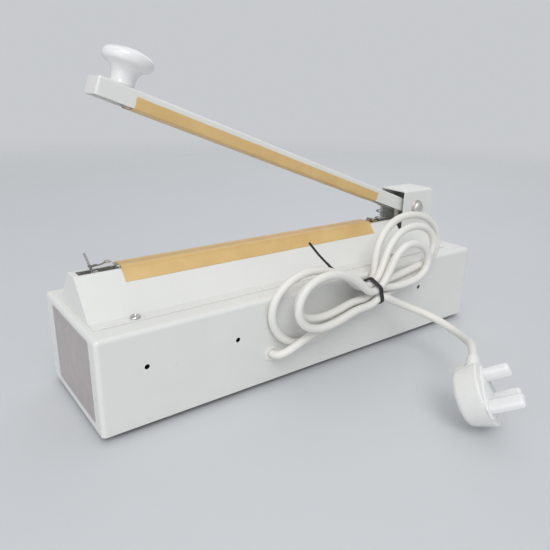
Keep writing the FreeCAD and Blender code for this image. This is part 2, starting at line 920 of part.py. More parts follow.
def arm_channel():
    top = pivot_z + arm_top
    bottom = pivot_z + arm_bottom
    tail = pivot_x - arm_tail
    nose = pivot_x + arm_reach
    shape = block(tail, nose, -arm_half, arm_half, bottom, top)
    edges = []
    for edge in shape.Edges:
        middle = edge.CenterOfMass
        top_edge = middle.z > top - 0.1 and middle.x > tail + 0.1
        nose_edge = middle.x > nose - 0.1 and abs(middle.y) > arm_half - 0.1
        if top_edge or nose_edge:
            edges.append(edge)
    shape = shape.makeFillet(arm_edge_radius, edges)
    inner = arm_half - arm_sheet
    shape = shape.cut(block(tail - 1, nose - arm_sheet, -inner, inner, bottom - 1, top - arm_sheet))
    shape = fillet_near(shape, [
        Vector(tail, arm_half - arm_sheet / 2, bottom),
        Vector(tail, -arm_half + arm_sheet / 2, bottom),
    ], arm_height / 3)
    holes = [
        rod(Vector(pivot_x, -arm_half - 1, pivot_z), Vector(0, 1, 0),
            pivot_radius + running_gap, 2 * arm_half + 2),
        rod(on_arm(knob_place, 0, arm_top - arm_sheet - 1), Vector(0, 0, 1),
            knob_screw_radius + running_gap, arm_sheet + 2),
    ]
    return opened(shape.cut(Part.makeCompound(holes)))


def pivot_bush():
    # Nylon sleeve with a flat that lies against the channel's web
    inner = arm_half - arm_sheet
    sleeve = ring(Vector(pivot_x, -inner, pivot_z), Vector(0, 1, 0), arm_bush_radius,
                  pivot_radius + running_gap, 2 * inner)
    reach = 2 * arm_bush_radius
    under = block(pivot_x - reach, pivot_x + reach, -inner, inner, pivot_z - reach,
                  pivot_z + arm_top - arm_sheet)
    return opened(sleeve.common(under))


def pad_carrier():
    top = pivot_z + arm_top - arm_sheet
    outer = pad_half + running_gap + carrier_sheet
    bottom = top - carrier_depth
    path = [(-outer, bottom), (-outer, top), (outer, top), (outer, bottom)]
    shape = along_x(folded_outline(path, carrier_sheet, bend_radius / 2),
                    pivot_x + pad_start, pivot_x + pad_end)
    return opened(shape)


def silicone_pad():
    top = pivot_z + arm_top - arm_sheet - carrier_sheet
    bottom = pivot_z + arm_bottom - pad_proud
    outline = [
        (-pad_half, bottom, pad_fold_radius),
        (pad_half, bottom, pad_fold_radius),
        (pad_half, top, 0.5),
        (-pad_half, top, 0.5),
    ]
    return opened(along_x(outline, pivot_x + pad_start, pivot_x + pad_end))


def upper_tape():
    # Up both flanks of the arm and across the pad
    top = pivot_z + upper_tape_top
    bottom = pivot_z + arm_bottom

    def contour(lift):
        side = arm_half + tape_gap + lift
        shoulder = bottom - tape_gap - lift
        pad = bottom - pad_proud - tape_gap - lift
        return [
            (-side, top, 0),
            (-side, shoulder, 0),
            (-pad_half, pad, 0),
            (pad_half, pad, 0),
            (side, shoulder, 0),
            (side, top, 0),
        ]
    outline = contour(tape_thickness) + contour(0.0)[::-1]
    return opened(along_x(outline, pivot_x + upper_tape_start, pivot_x + upper_tape_end))


def arm_knob():
    base = arm_top
    profile = [
        line((0, 0, 0), (knob_foot_radius, 0, 0)),
        arc((knob_foot_radius, 0, 0), (knob_neck_radius, 0, knob_neck_height),
            (knob_throat_radius, 0, knob_throat_height)),
        arc((knob_throat_radius, 0, knob_throat_height), (knob_flare_radius, 0, knob_flare_height),
            (knob_under_radius, 0, knob_under_height)),
        arc((knob_under_radius, 0, knob_under_height), (knob_rim_radius, 0, knob_rim_height),
            (knob_shoulder_radius, 0, knob_shoulder_height)),
        dome_arc(knob_shoulder_radius, knob_shoulder_height, knob_height, lambda r, h: (r, 0, h)),
        line((0, 0, knob_height), (0, 0, 0)),
    ]
    shape = revolved(profile, Vector(0, 0, 0), Vector(0, 0, 1))
    shape = shape.cut(rod(Vector(0, 0, 0), Vector(0, 0, 1), knob_screw_radius + running_gap,
                          knob_screw_depth))
    shape.translate(on_arm(knob_place, 0, base))
    return opened(shape)


def knob_screw():
    seat = on_arm(knob_place, 0, arm_top - arm_sheet)
    return opened(pan_screw(seat, Vector(0, 0, -1), screw_head_radius, screw_head,
                            knob_screw_radius, arm_sheet + knob_screw_depth - 1))


def return_spring():
    # Stands on the channel's floor and leans back under the open arm
    foot = Vector(pivot_x + spring_place + 0.6, 0, channel_floor + spring_wire_radius + spring_seat_gap)
    under = arm_top - arm_sheet - spring_top_gap - spring_wire_radius
    head = Vector(pivot_x + spring_place * open_cos - under * open_sin, 0,
                  pivot_z + spring_place * open_sin + under * open_cos)
    length = (head - foot).Length
    helix = Part.makeHelix(length / spring_turns, length, spring_radius)
    corners = []
    for index in range(5):
        angle = math.radians(90 * index)
        corners.append(Vector(spring_radius + spring_wire_radius * math.cos(angle), 0,
                              spring_wire_radius * math.sin(angle)))
    section = Part.makePolygon(corners)
    shape = Part.Wire(helix).makePipeShell([section], True, True)
    shape.Placement = FreeCAD.Placement(foot, FreeCAD.Rotation(Vector(0, 0, 1), head - foot))
    return shape


# Switch worked by the arm

def rod_heights():
    # Middles of the rod's top dome at rest and with the arm closed
    under = arm_top - arm_sheet
    reach = rod_radius + part_gap
    along = (rod_x - pivot_x + under * open_sin) / open_cos
    rest = pivot_z + along * open_sin + under * open_cos - reach / open_cos
    closed = pivot_z + under - reach
    return rest, closed


def lever_pin_place():
    rest, closed = rod_heights()
    reach = rod_radius + part_gap
    drop = rest - closed - reach * (1 / open_cos - 1)
    arm = drop * open_cos / open_sin
    return Vector(rod_x - arm, 0, switch_top + lever_lift)


def push_rod():
    rest, closed = rod_heights()
    pin = lever_pin_place()
    reach = rod_radius + part_gap
    low = pin.z + lever_thickness / 2 + (rod_x - pin.x) * open_sin / open_cos + reach / open_cos
    low += lever_thickness / 2 * (1 / open_cos - 1)
    corners = []
    for centre, first in ((low, -90), (rest, 0)):
        for angle in (first, first + 45, first + 90):
            corners.append((rod_radius * math.cos(math.radians(angle)), 0,
                            centre + rod_radius * math.sin(math.radians(angle))))
    profile = [line(corners[index], corners[index + 1]) for index in range(len(corners) - 1)]
    profile.append(line(corners[-1], corners[0]))
    shape = revolved(profile, Vector(0, 0, 0), Vector(0, 0, 1))
    shape.translate(Vector(rod_x, 0, 0))
    return shape


def rod_guide():
    bore = rod_radius + running_gap
    top = box_top + guide_flange
    shape = ring(Vector(rod_x, 0, box_top), Vector(0, 0, 1), guide_flange_radius, bore, guide_flange)
    shape = shape.fuse(ring(Vector(rod_x, 0, top - guide_depth), Vector(0, 0, 1), guide_radius, bore,
                            guide_depth))
    return shape.removeSplitter()


def switch_body():
    pin = lever_pin_place()
    x0 = pin.x - switch_pin_inset
    shape = block(x0, x0 + switch_length, -switch_half, switch_half, switch_top - switch_height, switch_top)
    shape = shape.makeFillet(0.6, [edge for edge in shape.Edges if abs(edge.tangentAt(0).y) > 0.9])
    for side in (-1, 1):
        y = side * (lever_half + part_gap + 0.5)
        ear = block(pin.x - 1.4, pin.x + 1.4, y - 0.5, y + 0.5, switch_top - 1, pin.z + 1.4)
        shape = shape.fuse(ear)
    hole = rod(pin - Vector(0, switch_half, 0), Vector(0, 1, 0), lever_pin_radius + running_gap,
               2 * switch_half)
    holes = [hole]
    for x in switch_screw_places():
        holes.append(clearance(Vector(x, -switch_half - 1, switch_top - switch_height + switch_screw_rise),
                               Vector(0, 1, 0), switch_screw_radius, 2 * switch_half + 2))
    return shape.cut(Part.makeCompound(holes)).removeSplitter()


def switch_screw_places():
    x0 = lever_pin_place().x - switch_pin_inset
    return (x0 + switch_screw_inset, x0 + switch_length - switch_screw_inset)


def switch_lever():
    # Leaf with its pin, raised against the rod
    pin = lever_pin_place()
    leaf = block(pin.x, pin.x + lever_reach, -lever_half, lever_half,
                 pin.z - lever_thickness / 2, pin.z + lever_thickness / 2)
    pin_half = lever_half + part_gap + 1.0
    axle = rod(pin - Vector(0, pin_half, 0), Vector(0, 1, 0), lever_pin_radius, 2 * pin_half)
    shape = leaf.fuse(axle).removeSplitter()
    shape.rotate(pin, Vector(0, 1, 0), -arm_open_angle)
    return shape


def switch_plate():
    # Angle under the base's top sheet that the switch is screwed to
    first, last = switch_screw_places()
    margin = switch_screw_radius + 0.7
    x0 = first - margin
    x1 = last + margin
    inner = -switch_half
    top = box_top - sheet
    path = [(inner - 12, top), (inner, top), (inner, switch_top - switch_height - 1)]
    shape = along_x(folded_outline(path, switch_plate_sheet, bend_radius), x0, x1)
    holes = []
    for x in switch_screw_places():
        holes.append(clearance(Vector(x, inner - 3, switch_top - switch_height + switch_screw_rise),
                               Vector(0, 1, 0), switch_screw_radius, 4))
    return shape.cut(Part.makeCompound(holes))


def switch_screws():
    screws = []
    for x in switch_screw_places():
        seat = Vector(x, switch_half, switch_top - switch_height + switch_screw_rise)
        screws.append(pan_screw(seat, Vector(0, 1, 0), switch_screw_radius + 1.1, screw_head - 0.6,
                                switch_screw_radius, 2 * switch_half + 5))
    return screws


# Transformer

def core_bottom():
    return plate_top + core_lift


def transformer_core():
    x0 = core_x - core_length / 2
    z0 = core_bottom()
    shape = block(x0, x0 + core_length, -core_half, core_half, z0, z0 + core_height)
    window = core_length / 2 - 2 * core_limb
    for start in (x0 + core_limb, core_x + core_limb):
        shape = shape.cut(block(start, start + window, -core_half - 1, core_half + 1,
                                z0 + core_limb, z0 + core_height - core_limb))
    return shape


def transformer_bobbin():
    z0 = core_bottom() + core_limb + bobbin_gap
    z1 = core_bottom() + core_height - core_limb - bobbin_gap
    tube_x = core_limb + bobbin_gap
    tube_y = core_half + bobbin_gap
    wide_x = core_length / 2 - core_limb - bobbin_gap
    wall = bobbin_wall
    shape = block(core_x - tube_x - wall, core_x + tube_x + wall, -tube_y - wall, tube_y + wall, z0, z1)
    for z in (z0, z1 - wall):
        shape = shape.fuse(block(core_x - wide_x, core_x + wide_x, -bobbin_half, bobbin_half, z, z + wall))
    return shape.cut(block(core_x - tube_x, core_x + tube_x, -tube_y, tube_y, z0 - 1, z1 + 1))


def transformer_winding():
    wall = bobbin_wall
    z0 = core_bottom() + core_limb + bobbin_gap + wall
    z1 = core_bottom() + core_height - core_limb - bobbin_gap - wall
    inner_x = core_limb + bobbin_gap + wall
    inner_y = core_half + bobbin_gap + wall
    outer_x = core_length / 2 - core_limb - bobbin_gap - 1
    outer_y = bobbin_half - 1
    outline = [(core_x - outer_x, -outer_y, 4), (core_x + outer_x, -outer_y, 4),
               (core_x + outer_x, outer_y, 4), (core_x - outer_x, outer_y, 4)]
    shape = along_z(outline, z0, z1)
    return shape.cut(block(core_x - inner_x, core_x + inner_x, -inner_y, inner_y, z0 - 1, z1 + 1))


def strap_screw_places():
    reach = core_length / 2 + strap_sheet + strap_foot / 2
    return [(core_x - reach, 0), (core_x + reach, 0)]


def transformer_strap():
    top = core_bottom() + core_height + strap_sheet
    half = core_length / 2 + strap_sheet
    foot = half + strap_foot
    low = plate_top + strap_sheet
    path = [
        (core_x - foot, low),
        (core_x - half, low),
        (core_x - half, top),
        (core_x + half, top),
        (core_x + half, low),
        (core_x + foot, low),
    ]
    shape = along_y(folded_outline(path, strap_sheet, 0), -core_half + 3, core_half - 3)
    holes = []
    for x, y in strap_screw_places():
        holes.append(clearance(Vector(x, y, plate_top - 1), Vector(0, 0, 1), screw_radius, 5))
    return shape.cut(Part.makeCompound(holes))


def strap_screws():
    screws = []
    for x, y in strap_screw_places():
        screws.append(pan_screw(Vector(x, y, plate_bottom), Vector(0, 0, -1), screw_head_radius, screw_head,
                                screw_radius, plate_sheet + strap_sheet + nut_height + 1))
        screws.append(hex_nut(Vector(x, y, plate_top + strap_sheet), Vector(0, 0, 1), nut_radius,
                              screw_radius, nut_height))
    return screws


# Timer, lamp and wiring points

def inner_front():
    return front_face + sheet


def timer_control():
    back = inner_front() + control_depth
    shape = rod(Vector(timer_x, inner_front(), timer_z), Vector(0, 1, 0), control_radius, control_depth)
    bush_length = sheet + control_nut + 1.5
    shape = shape.fuse(rod(Vector(timer_x, inner_front(), timer_z), Vector(0, -1, 0),
                           control_bush_radius, bush_length))
    shape = shape.cut(rod(Vector(timer_x, front_face - 10, timer_z), Vector(0, 1, 0),
                          shaft_radius + running_gap, back - 2 - (front_face - 10)))
    return shape.removeSplitter()


def timer_nut():
    return hex_nut(Vector(timer_x, front_face, timer_z), Vector(0, -1, 0), control_nut_radius,
                   control_bush_radius, control_nut)


def circuit_board():
    y0 = inner_front() + control_depth
    shape = block(timer_x - board_half_length, timer_x + board_half_length, y0, y0 + board_sheet,
                  timer_z - board_half_height, timer_z + board_half_height)
    upright = [edge for edge in shape.Edges if abs(edge.tangentAt(0).y) > 0.9]
    return shape.makeFillet(2.0, upright)


def board_parts():
    y0 = inner_front() + control_depth + board_sheet
    left = timer_x - board_half_length
    parts = [
        block(left + 5, left + 20, y0, y0 + 12, timer_z - 18, timer_z + 2),
        block(left + 38, left + 50, y0, y0 + 8, timer_z - 18, timer_z - 6),
        rod(Vector(left + 28, y0, timer_z - 12), Vector(0, 1, 0), 5.0, 13),
        block(left + 6, left + 16, y0, y0 + 4, timer_z + 8, timer_z + 18),
        rod(Vector(left + 42, y0, timer_z + 10), Vector(0, 1, 0), 4.0, 10),
    ]
    return parts


def timer_shaft():
    back = inner_front() + control_depth - 2 - part_gap
    front = front_face - timer_knob_reach + 3
    shape = rod(Vector(timer_x, front, timer_z), Vector(0, 1, 0), shaft_radius, back - front)
    return shape


def timer_knob():
    front = front_face - timer_knob_reach
    back = front_face - control_nut - 1.5 - timer_knob_gap
    skirt_front = back - timer_skirt
    profile = [
        line((0, front, 0), (timer_knob_radius - 1.8, front, 0)),
        line((timer_knob_radius - 1.8, front, 0), (timer_knob_radius - 0.6, front + 1.2, 0)),
        line((timer_knob_radius - 0.6, front + 1.2, 0), (timer_knob_radius, skirt_front, 0)),
        line((timer_knob_radius, skirt_front, 0), (timer_skirt_radius, skirt_front + 1.6, 0)),
        line((timer_skirt_radius, skirt_front + 1.6, 0), (timer_skirt_radius, back, 0)),
        line((timer_skirt_radius, back, 0), (0, back, 0)),
        line((0, back, 0), (0, front, 0)),
    ]
    shape = revolved(profile, Vector(0, 0, 0), Vector(0, 1, 0))
    flutes = []
    for index in range(timer_knob_flutes):
        angle = 2 * math.pi * (index + 0.5) / timer_knob_flutes
        centre = Vector((timer_knob_radius + 0.2) * math.cos(angle), front - 1,
                        (timer_knob_radius + 0.2) * math.sin(angle))
        flutes.append(rod(centre, Vector(0, 1, 0), timer_flute_radius, skirt_front - front + 1))
    shape = shape.cut(Part.makeCompound(flutes))
    pointer = block(-0.7, 0.7, front - 1, front + 0.8, timer_knob_radius * 0.35, timer_knob_radius - 3)
    shape = shape.cut(pointer)
    shape.rotate(Vector(0, 0, 0), Vector(0, 1, 0), -135)
    shape.translate(Vector(timer_x, 0, timer_z))
    return shape.cut(rod(Vector(timer_x, front + 3, timer_z), Vector(0, 1, 0), shaft_radius,
                         back - front))


def lamp_bezel():
    shape = rod(Vector(lamp_x, front_face, timer_z), Vector(0, -1, 0), lamp_bezel_radius, lamp_bezel_depth)
    shape = shape.makeChamfer(0.7, [edge for edge in shape.Edges
                                    if edge.CenterOfMass.y < front_face - lamp_bezel_depth + 0.1])
    shape = shape.fuse(rod(Vector(lamp_x, front_face, timer_z), Vector(0, 1, 0), lamp_radius, 14))
    return shape.cut(rod(Vector(lamp_x, front_face - 5, timer_z), Vector(0, 1, 0), lamp_radius - 1, 15))


def lamp_lens():
    radius = lamp_radius - 1
    base = front_face + 6
    face = front_face - lamp_bezel_depth
    profile = [
        line((0, base, 0), (radius, base, 0)),
        line((radius, base, 0), (radius, face, 0)),
        dome_arc(radius, -face, radius * 0.5 - face, lambda r, h: (r, -h, 0)),
        line((0, face - radius * 0.5, 0), (0, base, 0)),
    ]
    shape = revolved(profile, Vector(0, 0, 0), Vector(0, 1, 0))
    shape.translate(Vector(lamp_x, 0, timer_z))
    return shape


def terminal_block():
    # Three-way strip with a groove between its ways
    x0 = cord_exit_x - terminal_ways * terminal_pitch / 2
    y0 = terminal_y
    shape = block(x0, x0 + terminal_ways * terminal_pitch, y0, y0 + terminal_width, plate_top,
                  plate_top + terminal_height)
    for index in range(terminal_ways):
        x = x0 + terminal_pitch * (index + 0.5)
        for y in (y0 + terminal_width / 4, y0 + terminal_width * 3 / 4):
            shape = shape.cut(few_sided(Vector(x, y, plate_top + terminal_height / 2), Vector(0, 0, 1),
                                        terminal_bore, terminal_height, shank_sides))
        shape = shape.cut(few_sided(Vector(x, y0, plate_top + terminal_height / 3), Vector(0, 1, 0),
                                    terminal_bore, terminal_width, shank_sides))
    for index in range(1, terminal_ways):
        x = x0 + terminal_pitch * index
        shape = shape.cut(block(x - 0.5, x + 0.5, y0, y0 + terminal_width,
                                plate_top + terminal_height * 2 / 3, plate_top + terminal_height))
    return shape


def earth_stud():
    place = Vector(earth_stud_x, earth_stud_y, plate_top)
    stud = few_sided(place, Vector(0, 0, 1), screw_radius, 14, shank_sides)
    nut = hex_nut(place + Vector(0, 0, 1.0), Vector(0, 0, 1), nut_radius, screw_radius, 3)
    washer = few_sided(place, Vector(0, 0, 1), nut_radius + 1, 1.0, head_sides)
    washer = washer.cut(clearance(place, Vector(0, 0, 1), screw_radius, 1.0))
    return [stud, nut, washer]


# Cord, hank, tie and plug

def route_tube(name, route, radius, smallest):
    # Straight runs joined by tangent arcs
    points = [Vector(*point) for point in route]
    edges = []
    radii = []
    length = 0.0
    start = points[0]
    for index in range(1, len(points) - 1):
        back = points[index - 1] - points[index]
        ahead = points[index + 1] - points[index]
        shorter = min(back.Length, ahead.Length)
        turn = math.pi - back.getAngle(ahead)
        bend = 0.45 * shorter / math.tan(turn / 2)
        radii.append(bend)
        back.normalize()
        ahead.normalize()
        reach = 0.45 * shorter
        first = points[index] + back * reach
        last = points[index] + ahead * reach
        bisector = (back + ahead).normalize()
        centre = points[index] + bisector * (bend / math.cos(turn / 2))
        middle = centre - bisector * bend
        edges.append(Part.LineSegment(start, first).toShape())
        edges.append(Part.Arc(first, middle, last).toShape())
        start = last
    edges.append(Part.LineSegment(start, points[-1]).toShape())
    for edge in edges:
        length += edge.Length
    path = Part.Wire(edges)
    flat = FreeCAD.Rotation(Vector(0, 0, 1), points[1] - points[0])
    corners = []
    for index in range(cord_sides + 1):
        angle = 2 * math.pi * index / cord_sides
        corner = Vector(radius * math.cos(angle), radius * math.sin(angle), 0)
        corners.append(points[0] + flat.multVec(corner))
    shape = path.makePipeShell([Part.makePolygon(corners)], True, False)
    expected = math.pi * radius ** 2 * length
    print(name, "length", round(length, 1), "radii", [round(bend, 1) for bend in radii],
          "volume share", round(shape.Volume / expected, 4), "tight" if min(radii) < smallest else "")
    return shape


def loop_solid(centre, half_length, half_height, wall, tilt, lean):
    # One bunch of turns: a flat ring with bevelled rims, standing on edge
    sides = 18
    rings = []
    thick = hank_thickness / 2
    levels = ((-thick, hank_rim), (hank_rim - thick, 0), (thick - hank_rim, 0), (thick, hank_rim))
    for height, inset in levels:
        corners = []
        for index in range(sides + 1):
            angle = 2 * math.pi * index / sides
            corners.append(Vector((half_length - inset) * math.cos(angle),
                                  (half_height - inset) * math.sin(angle), height))
        rings.append(Part.makePolygon(corners))
    shape = Part.makeLoft(rings, True, True)
    corners = []
    for index in range(sides + 1):
        angle = 2 * math.pi * index / sides
        corners.append(Vector((half_length - wall) * math.cos(angle), (half_height - wall) * math.sin(angle),
                              -thick))
    shape = shape.cut(Part.Face(Part.makePolygon(corners)).extrude(Vector(0, 0, 2 * thick)))
    shape.rotate(Vector(0, 0, 0), Vector(0, 0, 1), tilt)
    shape.rotate(Vector(0, 0, 0), Vector(1, 0, 0), 90)
    shape.rotate(Vector(0, 0, 0), Vector(1, 0, 0), lean)
    shape.translate(centre)
    return shape


def cord_hank():
    left = loop_solid(Vector(8.0, hank_y, 63.0), 55.0, 35.0, 16.0, 0.0, 0.0)
    right = loop_solid(Vector(-90.0, hank_y, 95.0), 54.0, 33.0, 15.0, -8.0, hank_lean)
    axis = Vector(tie_axis).normalize()
    waist = few_sided(tie_place - axis * (waist_length / 2), axis, waist_radius, waist_length, 12)
    band = tie_wire_radius + part_gap
    pinch = few_sided(tie_place - axis * band, axis, 3 * waist_radius, 2 * band, 12)
    pinch = pinch.cut(few_sided(tie_place - axis * band, axis, waist_radius, 2 * band, 12))
    return left.fuse(right).cut(pinch).fuse(waist).removeSplitter()


def cord_tie():
    # Twisted wire tie: a ring round the waist and a tail behind the turns
    axis = Vector(tie_axis).normalize()
    inner = waist_radius + running_gap
    start = tie_place - axis * tie_wire_radius
    band = few_sided(start, axis, inner + 2 * tie_wire_radius, 2 * tie_wire_radius, 12)
    band = band.cut(few_sided(start, axis, inner, 2 * tie_wire_radius, 12))
    return [band, route_tube("tie tail", tie_tail_route, tie_wire_radius, 2 * tie_wire_radius)]


def cord_grommet():
    y = rear_face
    bore = cord_radius + running_gap
    outer = ring(Vector(cord_exit_x, y, cord_exit_z), Vector(0, 1, 0), grommet_flange_radius, bore,
                 grommet_flange)
    neck = ring(Vector(cord_exit_x, y - sheet, cord_exit_z), Vector(0, 1, 0), grommet_neck_radius, bore,
                sheet)
    inner = ring(Vector(cord_exit_x, y - sheet - grommet_flange, cord_exit_z), Vector(0, 1, 0),
                 grommet_flange_radius, bore, grommet_flange)
    return outer.fuse(neck).fuse(inner).removeSplitter()


exported = []


def export(name, solids):
    # Moves a piece to the machine's origin and writes it
    parts = solids if isinstance(solids, list) else [solids]
    shape = Part.makeCompound(parts) if len(parts) > 1 else parts[0]
    shape = shape.copy()
    shape.translate(Vector(0, origin_shift, 0))
    if not shape.isValid():
        print("not valid:", name)
    shape.exportStep("parts/" + name + ".step")
    exported.append((name, shape))


# Plug, built about its earth pin and then laid in place

def laid(shape):
    matrix = FreeCAD.Matrix(
        plug_cord_way.x, plug_across.x, plug_pin_way.x, plug_place.x,
        plug_cord_way.y, plug_across.y, plug_pin_way.y, plug_place.y,
        plug_cord_way.z, plug_across.z, plug_pin_way.z, plug_place.z,
        0, 0, 0, 1)
    placed = shape.copy()
    placed.Placement = FreeCAD.Placement(matrix)
    return placed


def plug_outline(z, half, earth_end, end_half):
    shoulder = plug_face_shoulder
    edges = [
        line((plug_cord_end, -end_half, z), (plug_cord_end, end_half, z)),
        line((plug_cord_end, end_half, z), (shoulder, half, z)),
        arc((shoulder, half, z), (earth_end, 0, z), (shoulder, -half, z)),
        line((shoulder, -half, z), (plug_cord_end, -end_half, z)),
    ]
    return Part.Wire(edges)


def plug_body():
    face = plug_outline(0, plug_face_half, plug_earth_end, plug_cord_end_half)
    back = plug_outline(-plug_depth, plug_back_half, plug_back_earth_end, plug_cord_end_half)
    shape = Part.makeLoft([back, face], True, True)
    rim = [edge for edge in shape.Edges if edge.CenterOfMass.z < -plug_depth + 0.1]
    shape = shape.makeFillet(plug_back_radius, rim)
    rim = [edge for edge in shape.Edges if edge.CenterOfMass.z > -0.1]
    shape = shape.makeChamfer(plug_face_radius, rim)
    collar = rod(Vector(plug_face_shoulder, plug_collar_y, -plug_collar_depth), Vector(1, 0, 0),
                 plug_collar_radius, plug_collar_end - plug_face_shoulder)
    return laid(shape.fuse(collar).removeSplitter())


def pin_block(pin, grow, bottom, top):
    x, y, along, across, length = pin
    shape = block(x - along / 2 - grow, x + along / 2 + grow, y - across / 2 - grow,
                  y + across / 2 + grow, bottom, top)
    upright = [edge for edge in shape.Edges if abs(edge.tangentAt(0).z) > 0.9]
    return shape.makeChamfer(0.5 + grow / 2, upright)


def plug_pins():
    return [laid(pin_block(pin, 0, 0, pin[4])) for pin in (earth_pin, live_pin, neutral_pin)]


def plug_pin_cover():
    # Three closed sleeves on one thin plate
    wall = pin_cover_wall + pin_cover_gap
    plate = [(-8.0, -6.0, 3.0), (16.0, -17.5, 4.0), (28.0, -17.5, 3.0), (28.0, 17.5, 3.0),
             (16.0, 17.5, 4.0), (-8.0, 6.0, 3.0)]
    shape = along_z(plate, 0, pin_cover_plate)
    for pin in (earth_pin, live_pin, neutral_pin):
        sleeve = pin_block(pin, wall, 0, pin[4] + wall)
        tip = [edge for edge in sleeve.Edges if edge.CenterOfMass.z > pin[4] + wall - 0.1]
        shape = shape.fuse(sleeve.makeChamfer(0.8, tip))
    shape = shape.removeSplitter()
    for pin in (earth_pin, live_pin, neutral_pin):
        shape = shape.cut(pin_block(pin, pin_cover_gap, -1, pin[4] + pin_cover_gap))
    return laid(shape)


os.makedirs("parts", exist_ok=True)
pieces = [
    ("base_housing", base_housing),
    ("bottom_plate", bottom_plate),
    ("rubber_feet", rubber_feet),
    ("base_screws", base_screws),
    ("deck_cover", deck_cover),
    ("deck_screws", deck_screws),
    ("jaw_channel", jaw_channel),
    ("channel_posts", channel_posts),
    ("jaw_bar", jaw_bar),
    ("insulation_strip", insulation_strip),
    ("heating_element", heating_element),
    ("element_crimp", element_crimp),
    ("lower_tape", lower_tape),
    ("tension_spring", tension_spring),
    ("tension_pin", tension_pin),
    ("rear_post", rear_post),
    ("rear_post_screw", rear_post_screw),
    ("hinge_bracket", hinge_bracket),
    ("bracket_screws", bracket_screws),
    ("pivot_bolt", pivot_bolt),
    ("pivot_washers", pivot_washers),
    ("pivot_nut", pivot_nut),
    ("pivot_spacers", pivot_spacers),
    ("arm_channel", arm_channel),
    ("pivot_bush", pivot_bush),
    ("pad_carrier", pad_carrier),
    ("silicone_pad", silicone_pad),
    ("upper_tape", upper_tape),
    ("arm_knob", arm_knob),
    ("knob_screw", knob_screw),
    ("return_spring", return_spring),
    ("push_rod", push_rod),
    ("rod_guide", rod_guide),
    ("switch_body", switch_body),
    ("switch_lever", switch_lever),
    ("switch_plate", switch_plate),
    ("switch_screws", switch_screws),
    ("transformer_core", transformer_core),
    ("transformer_bobbin", transformer_bobbin),
    ("transformer_winding", transformer_winding),
    ("transformer_strap", transformer_strap),
    ("strap_screws", strap_screws),
    ("timer_control", timer_control),
    ("timer_nut", timer_nut),
    ("circuit_board", circuit_board),
    ("board_parts", board_parts),
    ("timer_shaft", timer_shaft),
    ("timer_knob", timer_knob),
    ("lamp_bezel", lamp_bezel),
    ("lamp_lens", lamp_lens),
    ("terminal_block", terminal_block),
    ("earth_stud", earth_stud),
    ("cord_grommet", cord_grommet),
    ("cord_hank", cord_hank),
    ("cord_tie", cord_tie),
    ("plug_body", plug_body),
    ("plug_pins", plug_pins),
    ("plug_pin_cover", plug_pin_cover),
]
for name, make in pieces:
    export(name, make())
export("cord_exit", route_tube("exit", exit_route, cord_radius, 5 * cord_radius))
export("cord_lead", route_tube("lead", lead_route, cord_radius, 10 * cord_radius))
whole = exported[0][1].BoundBox
for name, shape in exported:
    whole.add(shape.optimalBoundingBox())
print("nodes", len(exported), "size", round(whole.XLength, 1), round(whole.YLength, 1),
      round(whole.ZLength, 1), "lowest", round(whole.ZMin, 2))
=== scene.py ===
import math

import bmesh
import bpy
from mathutils import Matrix, Vector, noise


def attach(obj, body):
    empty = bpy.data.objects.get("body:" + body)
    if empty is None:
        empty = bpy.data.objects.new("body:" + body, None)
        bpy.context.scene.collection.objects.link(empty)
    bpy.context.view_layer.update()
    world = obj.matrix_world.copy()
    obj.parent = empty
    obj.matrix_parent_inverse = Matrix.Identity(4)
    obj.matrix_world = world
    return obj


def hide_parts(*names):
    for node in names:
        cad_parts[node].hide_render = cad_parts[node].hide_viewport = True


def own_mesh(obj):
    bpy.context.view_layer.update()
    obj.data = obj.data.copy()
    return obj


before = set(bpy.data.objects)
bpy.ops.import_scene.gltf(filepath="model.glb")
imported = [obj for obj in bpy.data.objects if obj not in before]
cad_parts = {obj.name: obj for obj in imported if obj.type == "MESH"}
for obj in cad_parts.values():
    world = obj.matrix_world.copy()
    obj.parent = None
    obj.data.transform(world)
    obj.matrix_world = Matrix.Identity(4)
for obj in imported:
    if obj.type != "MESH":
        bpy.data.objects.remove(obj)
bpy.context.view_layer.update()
scene = bpy.context.scene


# Places are written in millimetres about the middle of the base, as in part.py

def spot(x, y, z):
    return Vector((x, y + 9.0, z)) / 1000


hingeSizes = {"x": -156.0, "z": 118.8, "open": 20.1}
pivotSpot = spot(hingeSizes["x"], 0, hingeSizes["z"])
armSwing = (Matrix.Translation(pivotSpot)
            @ Matrix.Rotation(math.radians(-hingeSizes["open"]), 4, "Y")
            @ Matrix.Translation(-pivotSpot))


def onArm(along, across, above):
    return armSwing @ spot(hingeSizes["x"] + along, across, hingeSizes["z"] + above)


# Camera, fitted to the photograph

cameraSizes = {"lens": 35.86, "sensor": 36.0}
cameraData = bpy.data.cameras.new("photoCamera")
cameraData.lens = cameraSizes["lens"]
cameraData.sensor_width = cameraSizes["sensor"]
cameraData.clip_start = 0.01
camera = bpy.data.objects.new("photoCamera", cameraData)
cameraRight = Vector((-0.8046413, 0.5934589, 0.0189455))
cameraUp = Vector((-0.1815312, -0.2762583, 0.9437837))
cameraBack = Vector((0.5653307, 0.7559682, 0.3300202))
cameraTurn = Matrix((cameraRight, cameraUp, cameraBack)).transposed().to_4x4()
camera.matrix_world = Matrix.Translation(Vector((0.29692, 0.38797, 0.23788))) @ cameraTurn
scene.collection.objects.link(camera)
scene.camera = camera
print("camera set")


# Building blocks for node trees

def addNode(tree, kind, sockets=None, **settings):
    node = tree.nodes.new(kind)
    for key, value in settings.items():
        setattr(node, key, value)
    for key, value in (sockets or {}).items():
        if isinstance(value, bpy.types.NodeSocket):
            tree.links.new(value, node.inputs[key])
        else:
            node.inputs[key].default_value = value
    return node


